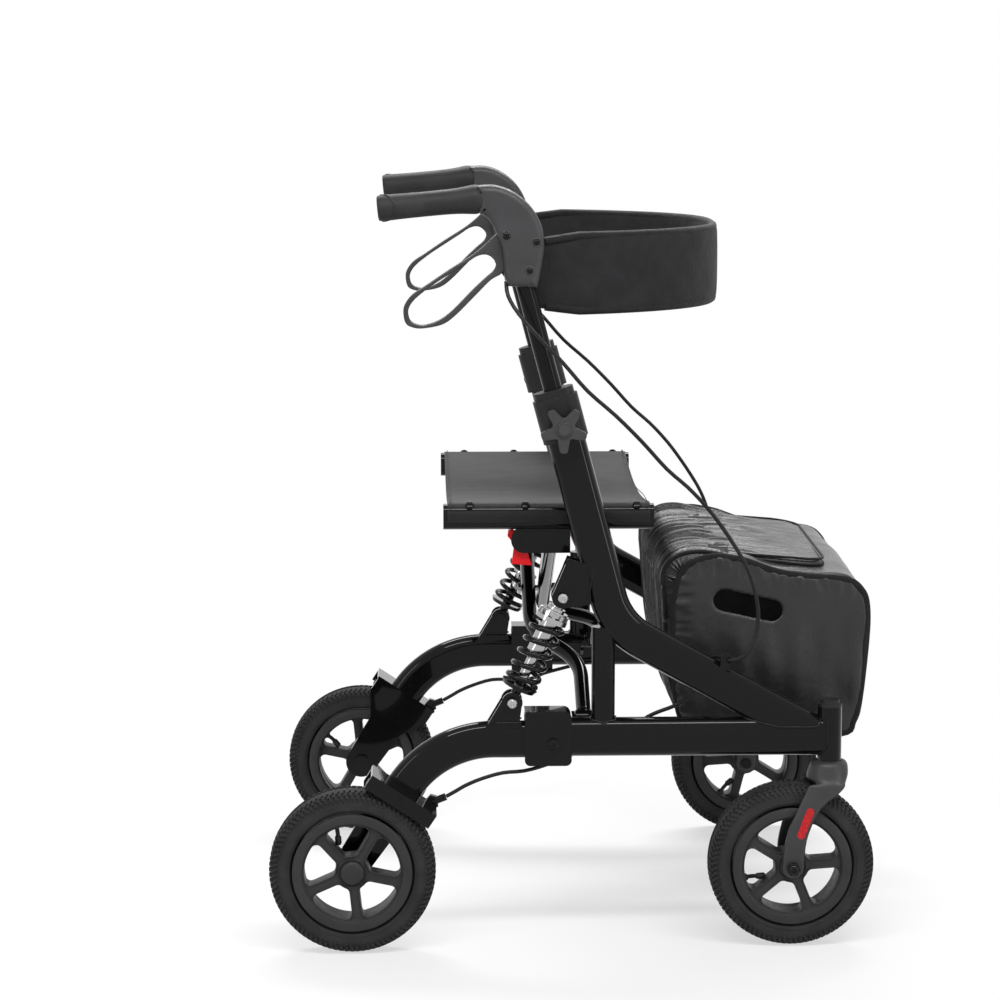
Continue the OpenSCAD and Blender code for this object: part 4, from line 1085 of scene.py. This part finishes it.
def bag_pouch():
    """The bag's body: its outline carried across, gathered towards the back, with pleats fanning at the ends."""
    ring = rounded_line(POUCH, 14)
    outward = ring_normals(ring)
    along = [0.0]
    for a, b in zip(ring, ring[1:]):
        along.append(along[-1] + math.hypot(b[0] - a[0], b[1] - a[1]))
    rows = [(-BAG_HALF + 5 + 5.6 * (k / 11) ** 2, 36 * (1 - k / 11) ** 1.2) for k in range(12)]
    steps = 140
    inner = rows[-1][0]
    rows += [(inner - 2 * inner * k / steps, 0) for k in range(1, steps)]
    rows += [(-y, shrink) for y, shrink in reversed(rows[:12])]
    count, n = len(rows), len(ring)

    def place(u, v):
        i, j = round(u * (count - 1)), round(v * n) % n
        y, shrink = rows[i]
        (x, z), (nx, nz) = ring[j], outward[j]
        run = along[j]
        back = fade(x, 440, 385)
        top = fade(z, 385, 440) * fade(x, 560, 430)
        gather = max(back if z > 260 else back * 0.3, top)
        wander = 1.2 * noise.noise(Vector((run / 60, y / 40, 1)))
        swell = gather * pleat(y + wander, 0.5 * math.sin(run / 70)) if shrink == 0 else 0.0
        puff = 3.0 * (1 - (y / BAG_HALF) ** 2) * (1 if z > 260 else 0.2) + collar_lift(x, y, z)
        crease = 2.4 * noise.noise(Vector((x / 45, y / 50, z / 45)))
        fan = (1.7 * math.sin(run / 1.55 + 1.4 * math.sin(run / 23)) + 1.1 * math.sin(run / 2.4 + 2)) * gather
        rim = fade(shrink, 0, 8) * fade(shrink, 34, 24)
        move = swell + puff + crease - shrink
        return Vector((x + nx * move, y + math.copysign(fan * rim, y), z + nz * move))

    piece = grid_cloth("bag_body", count - 1, n, place)
    sewn_shut(piece)
    smooth(piece, 70)
    seam = [place(11 / (count - 1), j / n) for j in range(n) if 380 < ring[j][1] and ring[j][0] < 480]
    seam += [place(11 / (count - 1), j / n) for j in range(n) if 262 < ring[j][1] <= 380 and ring[j][0] < 420]
    return piece, seam


def puckered(panel):
    """Gives a flat panel fine cloth faces, puckers under its top seam and soft dents below its slot."""
    modify(panel, "REMESH", mode="VOXEL", voxel_size=2.6)
    for vertex in panel.data.vertices:
        x, y, z = vertex.co
        top = 458 - 0.14 * (x - 440)
        pucker = noise.noise(Vector((x / 7.5, z / 24, 1))) * fade(z, top - 34, top - 4)
        edge = noise.noise(Vector((x / 26, z / 8, 4))) * fade(x, 420, 398)
        dent = noise.noise(Vector((x / 24, z / 75, 7))) * fade(z, 400, 350) * fade(z, 244, 290)
        wave = noise.noise(Vector((x / 60, z / 60, 9)))
        vertex.co.y = y + 3.6 * pucker + 2.6 * edge + 4.2 * dent + 2.0 * wave
    smooth(panel, 80)


def stadium(centre, length, width, tilt, steps=10):
    cx, cz = centre
    out = []
    for end in (1, -1):
        for k in range(steps + 1):
            a = math.radians(-90 + 180 * k / steps) + (0 if end > 0 else math.pi)
            x = end * (length - width) / 2 + width / 2 * math.cos(a)
            z = width / 2 * math.sin(a)
            out.append((cx + x * math.cos(tilt) - z * math.sin(tilt), cz + x * math.sin(tilt) + z * math.cos(tilt)))
    return out


class ROLLATOR_OT_bag(bpy.types.Operator):
    """Sews the bag: pouch, side panels with their slots, a near-black sheet of painted shade behind each slot, bound
    edges and the lid
    """
    bl_idname = "rollator.bag"
    bl_label = "Bag"

    def execute(self, context):
        def finish_piece(piece, slot_finish, matrix=MIDDLE):
            take(piece, "bag_cloth", matrix, slot_finish)
            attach(piece, "frame_right")
            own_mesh(piece)
            return piece

        body, seam = bag_pouch()
        for name, flip in (("right", 1), ("left", -1)):
            line = [(x, y * flip, z) for x, y, z in seam]
            finish_piece(swept(f"gusset_piping_{name}", line, 2.6, 8, False), "bag_tape")
        pouch = finish_piece(body, "bag_cloth")
        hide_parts("carry_bag")
        outline = rounded_line(PANEL, 5)
        slot = stadium((480, 401), 84, 25, math.radians(-12.5))
        for name, sign in (("right", -1), ("left", 1)):
            panel = plate("panel", outline, -BAG_HALF, -BAG_HALF + 6.5, 1.6, [slot], steps=3)
            # painted shade: a near-black sheet behind the slot stands in for the shade inside the bag
            shade_sheet = plate("slot_shade_sheet", stadium((480, 401), 96, 36, math.radians(-12.5)),
                          -BAG_HALF + 2.4, -BAG_HALF + 4.4, 0.4)
            puckered(panel)
            tape = swept("tape", [(x, -BAG_HALF + 1.2, z) for x, z in outline], 4.0, 10, False, True)
            for vertex in tape.data.vertices:
                vertex.co.y = -BAG_HALF + 1.4 + (vertex.co.y + BAG_HALF - 1.2) * 0.55
            flip = Matrix.Diagonal((1, -sign, 1, 1))
            for part, piece, slot_finish in (("panel", panel, "bag_cloth"), ("slot", shade_sheet, "inside"),
                                             ("tape", tape, "bag_tape")):
                piece.name = f"bag_{part}_{name}"
                finish_piece(piece, slot_finish, MIDDLE @ flip)
        x0, x1, half = LID

        def lid_level(x):
            return 458 - (x - x0) * 0.115

        corner, height = 34, 9.0

        def width(x):
            return half - corner + math.sqrt(max(0.0, corner ** 2 - max(0.0, x - x1 + corner) ** 2))

        def place(u, v):
            x = x0 + (x1 - x0) * math.sin(u * math.pi / 2) ** 0.9
            across = math.sin((v - 0.5) * math.pi)
            y = across * width(x)
            edge = max(abs(across) ** 26, fade(x, x1 - 9, x1))
            gathers = fade(x, x0 + 150, x0 + 20) * (1 - edge) * 0.75 * pleat(y * 1.05, 0.7 + 0.4 * math.sin(x / 40))
            wrinkle = 1.8 * noise.noise(Vector((x / 34, y / 12, 0))) * (1 - edge)
            crown = 4.0 * (1 - across * across)
            rise = (height + crown) * math.sqrt(max(0.0, 1 - edge)) * fade(x, x0 - 30, x0 + 40)
            return Vector((x, y, lid_level(x) - 1 + rise + gathers + wrinkle))

        lid = grid_cloth("bag_lid", 70, 110, place)
        modify(lid, "SOLIDIFY", thickness=1.6, offset=-1)
        smooth(lid, 60)
        finish_piece(lid, "bag_cloth")
        front = [(x0 + 4, -half)] + arc((x1 - corner, corner - half), corner, -math.pi / 2, 0, 8) + \
            arc((x1 - corner, half - corner), corner, 0, math.pi / 2, 8) + [(x0 + 4, half)]
        for name, rise, radius in (("upper", 8.0, 1.6), ("lower", 0.6, 1.9)):
            line = [(x, y, lid_level(x) + rise * fade(x, x0 - 30, x0 + 40)) for x, y in front]
            finish_piece(swept(f"lid_piping_{name}", line, radius, 8, False), "bag_tape")
        return {"FINISHED"}


class ROLLATOR_OT_strap(bpy.types.Operator):
    """Curves the padded back strap between the handles, with bound edges"""
    bl_idname = "rollator.strap"
    bl_label = "Back strap"

    def execute(self, context):
        reach, low, high = 244.9, 761, 855
        steps, rows = 72, 12

        def centre(t):
            return 208 + 240 * (1 - abs(t) ** 2.6) ** 0.62 if abs(t) < 1 else 208.0

        line = []
        for k in range(steps + 1):
            w = math.sin(math.pi / 2 * (2 * k / steps - 1))
            line.append(Vector((centre(w), reach * w)))

        def skin(u, v):
            """u runs along the strap, v round its section."""
            k = round(u * steps)
            here, before, after = line[k], line[max(k - 1, 0)], line[min(k + 1, steps)]
            along = (after - before).normalized()
            out = Vector((along.y, -along.x))
            a = TAU * v
            end = min(k, steps - k)
            thin = 0.38 if end < 5 else min(1.0, 0.38 + (end - 5) * 0.11)
            tall = (high - low) / 2 - 10 * max(0.0, 1 - end / 7)
            thick = 6.4 * thin * math.copysign(abs(math.cos(a)) ** 0.5, math.cos(a))
            ripple = 0.7 * noise.noise(Vector((u * 22, math.sin(a) * 2, 3))) * thin
            up = tall * math.copysign(abs(math.sin(a)) ** 0.45, math.sin(a))
            return Vector((here.x + out.x * (thick + ripple), here.y + out.y * (thick + ripple), (low + high) / 2 + up))

        strap = grid_cloth("back_strap_look", steps, rows * 4, skin)
        editing(strap)
        bpy.ops.mesh.remove_doubles(threshold=0.02)
        bpy.ops.mesh.select_all(action="DESELECT")
        bpy.ops.mesh.select_mode(type="EDGE")
        bpy.ops.mesh.select_non_manifold()
        bpy.ops.mesh.fill_holes(sides=0)
        bpy.ops.mesh.select_all(action="SELECT")
        bpy.ops.mesh.normals_make_consistent(inside=False)
        done_editing()
        modify(strap, "SUBSURF", levels=1, render_levels=1)
        smooth(strap, 60)
        tapes = []
        for z, shift in ((high - 3, 0), (low + 3, 0)):
            row = []
            for k in range(3, steps - 2):
                end = min(k, steps - k)
                cut = 10 * max(0.0, 1 - end / 7)
                row.append((line[k].x, line[k].y, z - math.copysign(cut, z - 800)))
            tapes.append(swept("edge_tape", row, 5.2, 10, False))
        for tape in tapes:
            take(tape, "strap_cloth", MIDDLE, "bag_tape")
        tapes = joined("strap_tape", tapes)
        take(strap, "strap_cloth", MIDDLE)
        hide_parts("back_strap")
        for piece in (strap, tapes):
            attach(piece, "handle_right")
            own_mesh(piece)
        return {"FINISHED"}


NODE_FINISHES = {"shock_rod": "spring_steel", "hinge_bolts": "spring_steel", "shock_bolt": "spring_steel", "caster_axle": "spring_steel",
                 "rear_axle": "spring_steel", "star_knob": "moulded_plastic", "handle_tube": "tube_paint"}


class ROLLATOR_OT_finishes(bpy.types.Operator):
    """Gives each solid of the frame its finish"""
    bl_idname = "rollator.finishes"
    bl_label = "Frame finishes"

    def execute(self, context):
        slots = {part["node"]: part["material_slot"] for part in frame["record"]["subparts"]}
        for name, node in frame["nodes"].items():
            node.data.materials.clear()
            finish = next((made for start, made in NODE_FINISHES.items() if name.startswith(start)), slots[name])
            node.data.materials.append(FINISHES[finish].material)
            for face in node.data.polygons:
                face.material_index = 0
            if not node.hide_render:
                smooth(node, 28)
        return {"FINISHED"}


class ROLLATOR_OT_stage(bpy.types.Operator):
    """Lays the white floor, hangs the lamps and sets the camera"""
    bl_idname = "rollator.stage"
    bl_label = "Stage"

    def execute(self, context):
        scene = context.scene
        bpy.ops.object.select_all(action="DESELECT")
        bpy.ops.mesh.primitive_plane_add(size=14, location=(0, 2, 0))
        floor = context.object
        floor.name = "floor"
        white = Finish("white_floor", (0.86, 0.86, 0.86), 0.7)
        x, y, z = white.axes()
        far = white.ramp((x * x + (y + 2.0) * (y + 2.0)) ** 0.5, 0.6, 1.0, 0.4, 0.8)
        seen = [white.node("ShaderNodeLightPath", out=i) for i in (0, 3, 6)]
        glow = white.node("ShaderNodeEmission", sockets={"Color": (1, 1, 1, 1), "Strength": 1.0})
        both = white.node("ShaderNodeMixShader",
                          sockets={0: seen[0].maths("MAXIMUM", seen[1]).maths("MAXIMUM", seen[2]) * far,
                                   1: Wire(white, white.shader.outputs[0]), 2: glow})
        white.tree.links.new(both.socket, white.tree.nodes["Material Output"].inputs[0])
        floor.data.materials.append(white.material)
        world = bpy.data.worlds.new("studio")
        scene.world = world
        world.use_nodes = True
        nodes, links = world.node_tree.nodes, world.node_tree.links
        nodes.clear()
        out = nodes.new("ShaderNodeOutputWorld")
        mix = nodes.new("ShaderNodeMixShader")
        plain, seen = nodes.new("ShaderNodeBackground"), nodes.new("ShaderNodeBackground")
        plain.inputs[0].default_value, plain.inputs[1].default_value = (1, 1, 1, 1), 0.22
        seen.inputs[0].default_value, seen.inputs[1].default_value = (1, 1, 1, 1), 1.0
        path = nodes.new("ShaderNodeLightPath")
        either = nodes.new("ShaderNodeMath")
        either.operation = "MAXIMUM"
        links.new(path.outputs["Is Camera Ray"], either.inputs[0])
        links.new(path.outputs["Is Glossy Ray"], either.inputs[1])
        last = nodes.new("ShaderNodeMath")
        last.operation = "MAXIMUM"
        links.new(either.outputs[0], last.inputs[0])
        links.new(path.outputs["Is Transmission Ray"], last.inputs[1])
        links.new(last.outputs[0], mix.inputs[0])
        links.new(plain.outputs[0], mix.inputs[1])
        links.new(seen.outputs[0], mix.inputs[2])
        links.new(mix.outputs[0], out.inputs[0])
        for name, place, wide, tall, power in (("front_bank", (0.1, -1.3, 2.1), 2.4, 0.26, 38),
                                               ("back_bank", (0, 1.3, 2.3), 2.4, 0.5, 64),
                                               ("right_strip", (2.0, -1.7, 0.9), 0.25, 1.6, 11),
                                               ("left_strip", (-2.1, -1.9, 1.0), 0.3, 1.6, 11)):
            bpy.ops.object.light_add(type="AREA", location=place)
            lamp = context.object
            lamp.name = name
            lamp.data.shape = "RECTANGLE"
            lamp.data.size, lamp.data.size_y = wide, tall
            lamp.data.energy = power
            aim = Vector((0, 0, 0.4)) - Vector(place)
            lamp.rotation_euler = aim.to_track_quat("-Z", "Y").to_euler()
        bpy.ops.object.camera_add(location=(AXLE_X + 0.0858, -3.7648, 1.0827),
                                  rotation=(math.radians(90) - 0.153, 0, -0.026))
        camera = context.object
        camera.data.sensor_width = 36
        camera.data.lens = 108
        camera.data.clip_end = 50
        scene.camera = camera
        scene.view_settings.view_transform = "Standard"
        return {"FINISHED"}


class RollatorLook(bpy.types.PropertyGroup):
    """Sizes and colours that a user would change."""
    paint_colour: bpy.props.FloatVectorProperty(
        name="Frame paint", description="Colour of the gloss powder coat", subtype="COLOR", size=3,
        default=(0.004, 0.004, 0.0045))
    plastic_colour: bpy.props.FloatVectorProperty(
        name="Fork plastic", description="Colour of the forks, housings and levers", subtype="COLOR", size=3,
        default=(0.03, 0.03, 0.0315))
    tyre_colour: bpy.props.FloatVectorProperty(
        name="Tyre rubber", description="Colour of the tyres", subtype="COLOR", size=3,
        default=(0.021, 0.021, 0.0205))
    red_colour: bpy.props.FloatVectorProperty(
        name="Red", description="Colour of the reflectors and the latch", subtype="COLOR", size=3,
        default=(0.58, 0.008, 0.012))
    bag_colour: bpy.props.FloatVectorProperty(
        name="Bag cloth", description="Colour of the bag", subtype="COLOR", size=3, default=(0.009, 0.009, 0.0095))
    strap_colour: bpy.props.FloatVectorProperty(
        name="Strap cloth", description="Colour of the back strap", subtype="COLOR", size=3,
        default=(0.012, 0.012, 0.013))
    tread_steps: bpy.props.IntProperty(
        name="Tread steps", description="Steps of the tread round a tyre, six for each pattern", default=270,
        min=60, max=360)
    tread_depth: bpy.props.FloatProperty(
        name="Tread depth", description="Height of the tread blocks", default=0.0018, min=0.0, max=0.0019,
        subtype="DISTANCE", unit="LENGTH")
    weld_radius: bpy.props.FloatProperty(
        name="Weld radius", description="Half the thickness of a weld bead", default=0.0015, min=0.0005,
        max=0.003, subtype="DISTANCE", unit="LENGTH")
    seat_sag: bpy.props.FloatProperty(
        name="Seat sag", description="How far the sling hangs at its middle", default=0.012, min=0.0, max=0.03,
        subtype="DISTANCE", unit="LENGTH")


STEPS = (ROLLATOR_OT_wheels, ROLLATOR_OT_springs, ROLLATOR_OT_braces, ROLLATOR_OT_welds, ROLLATOR_OT_bolts, ROLLATOR_OT_handles,
         ROLLATOR_OT_cables, ROLLATOR_OT_seat, ROLLATOR_OT_bag, ROLLATOR_OT_strap, ROLLATOR_OT_finishes)


class ROLLATOR_PT_panel(bpy.types.Panel):
    """Lists the sizes, the colours and the pieces."""
    bl_label = "Rollator"
    bl_idname = "ROLLATOR_PT_panel"
    bl_space_type = "VIEW_3D"
    bl_region_type = "UI"
    bl_category = "Rollator"

    def draw(self, context):
        column = self.layout.column()
        for name in RollatorLook.__annotations__:
            column.prop(context.scene.rollator, name)
        for step in (ROLLATOR_OT_stage, *STEPS):
            column.operator(step.bl_idname)


CLASSES = (RollatorLook, ROLLATOR_OT_stage, *STEPS, ROLLATOR_PT_panel)


def register():
    for made in CLASSES:
        bpy.utils.register_class(made)
    bpy.types.Scene.rollator = bpy.props.PointerProperty(type=RollatorLook)


def unregister():
    del bpy.types.Scene.rollator
    for made in reversed(CLASSES):
        bpy.utils.unregister_class(made)


def main():
    register()
    bpy.ops.object.select_all(action="DESELECT")
    make_finishes(bpy.context.scene.rollator)
    bpy.ops.rollator.stage()
    bpy.ops.rollator.cables()
    bpy.ops.rollator.wheels()
    bpy.ops.rollator.springs()
    bpy.ops.rollator.braces()
    bpy.ops.rollator.welds()
    bpy.ops.rollator.bolts()
    bpy.ops.rollator.handles()
    bpy.ops.rollator.seat()
    bpy.ops.rollator.bag()
    bpy.ops.rollator.strap()
    bpy.ops.rollator.finishes()


if __name__ == "__main__":
    main()
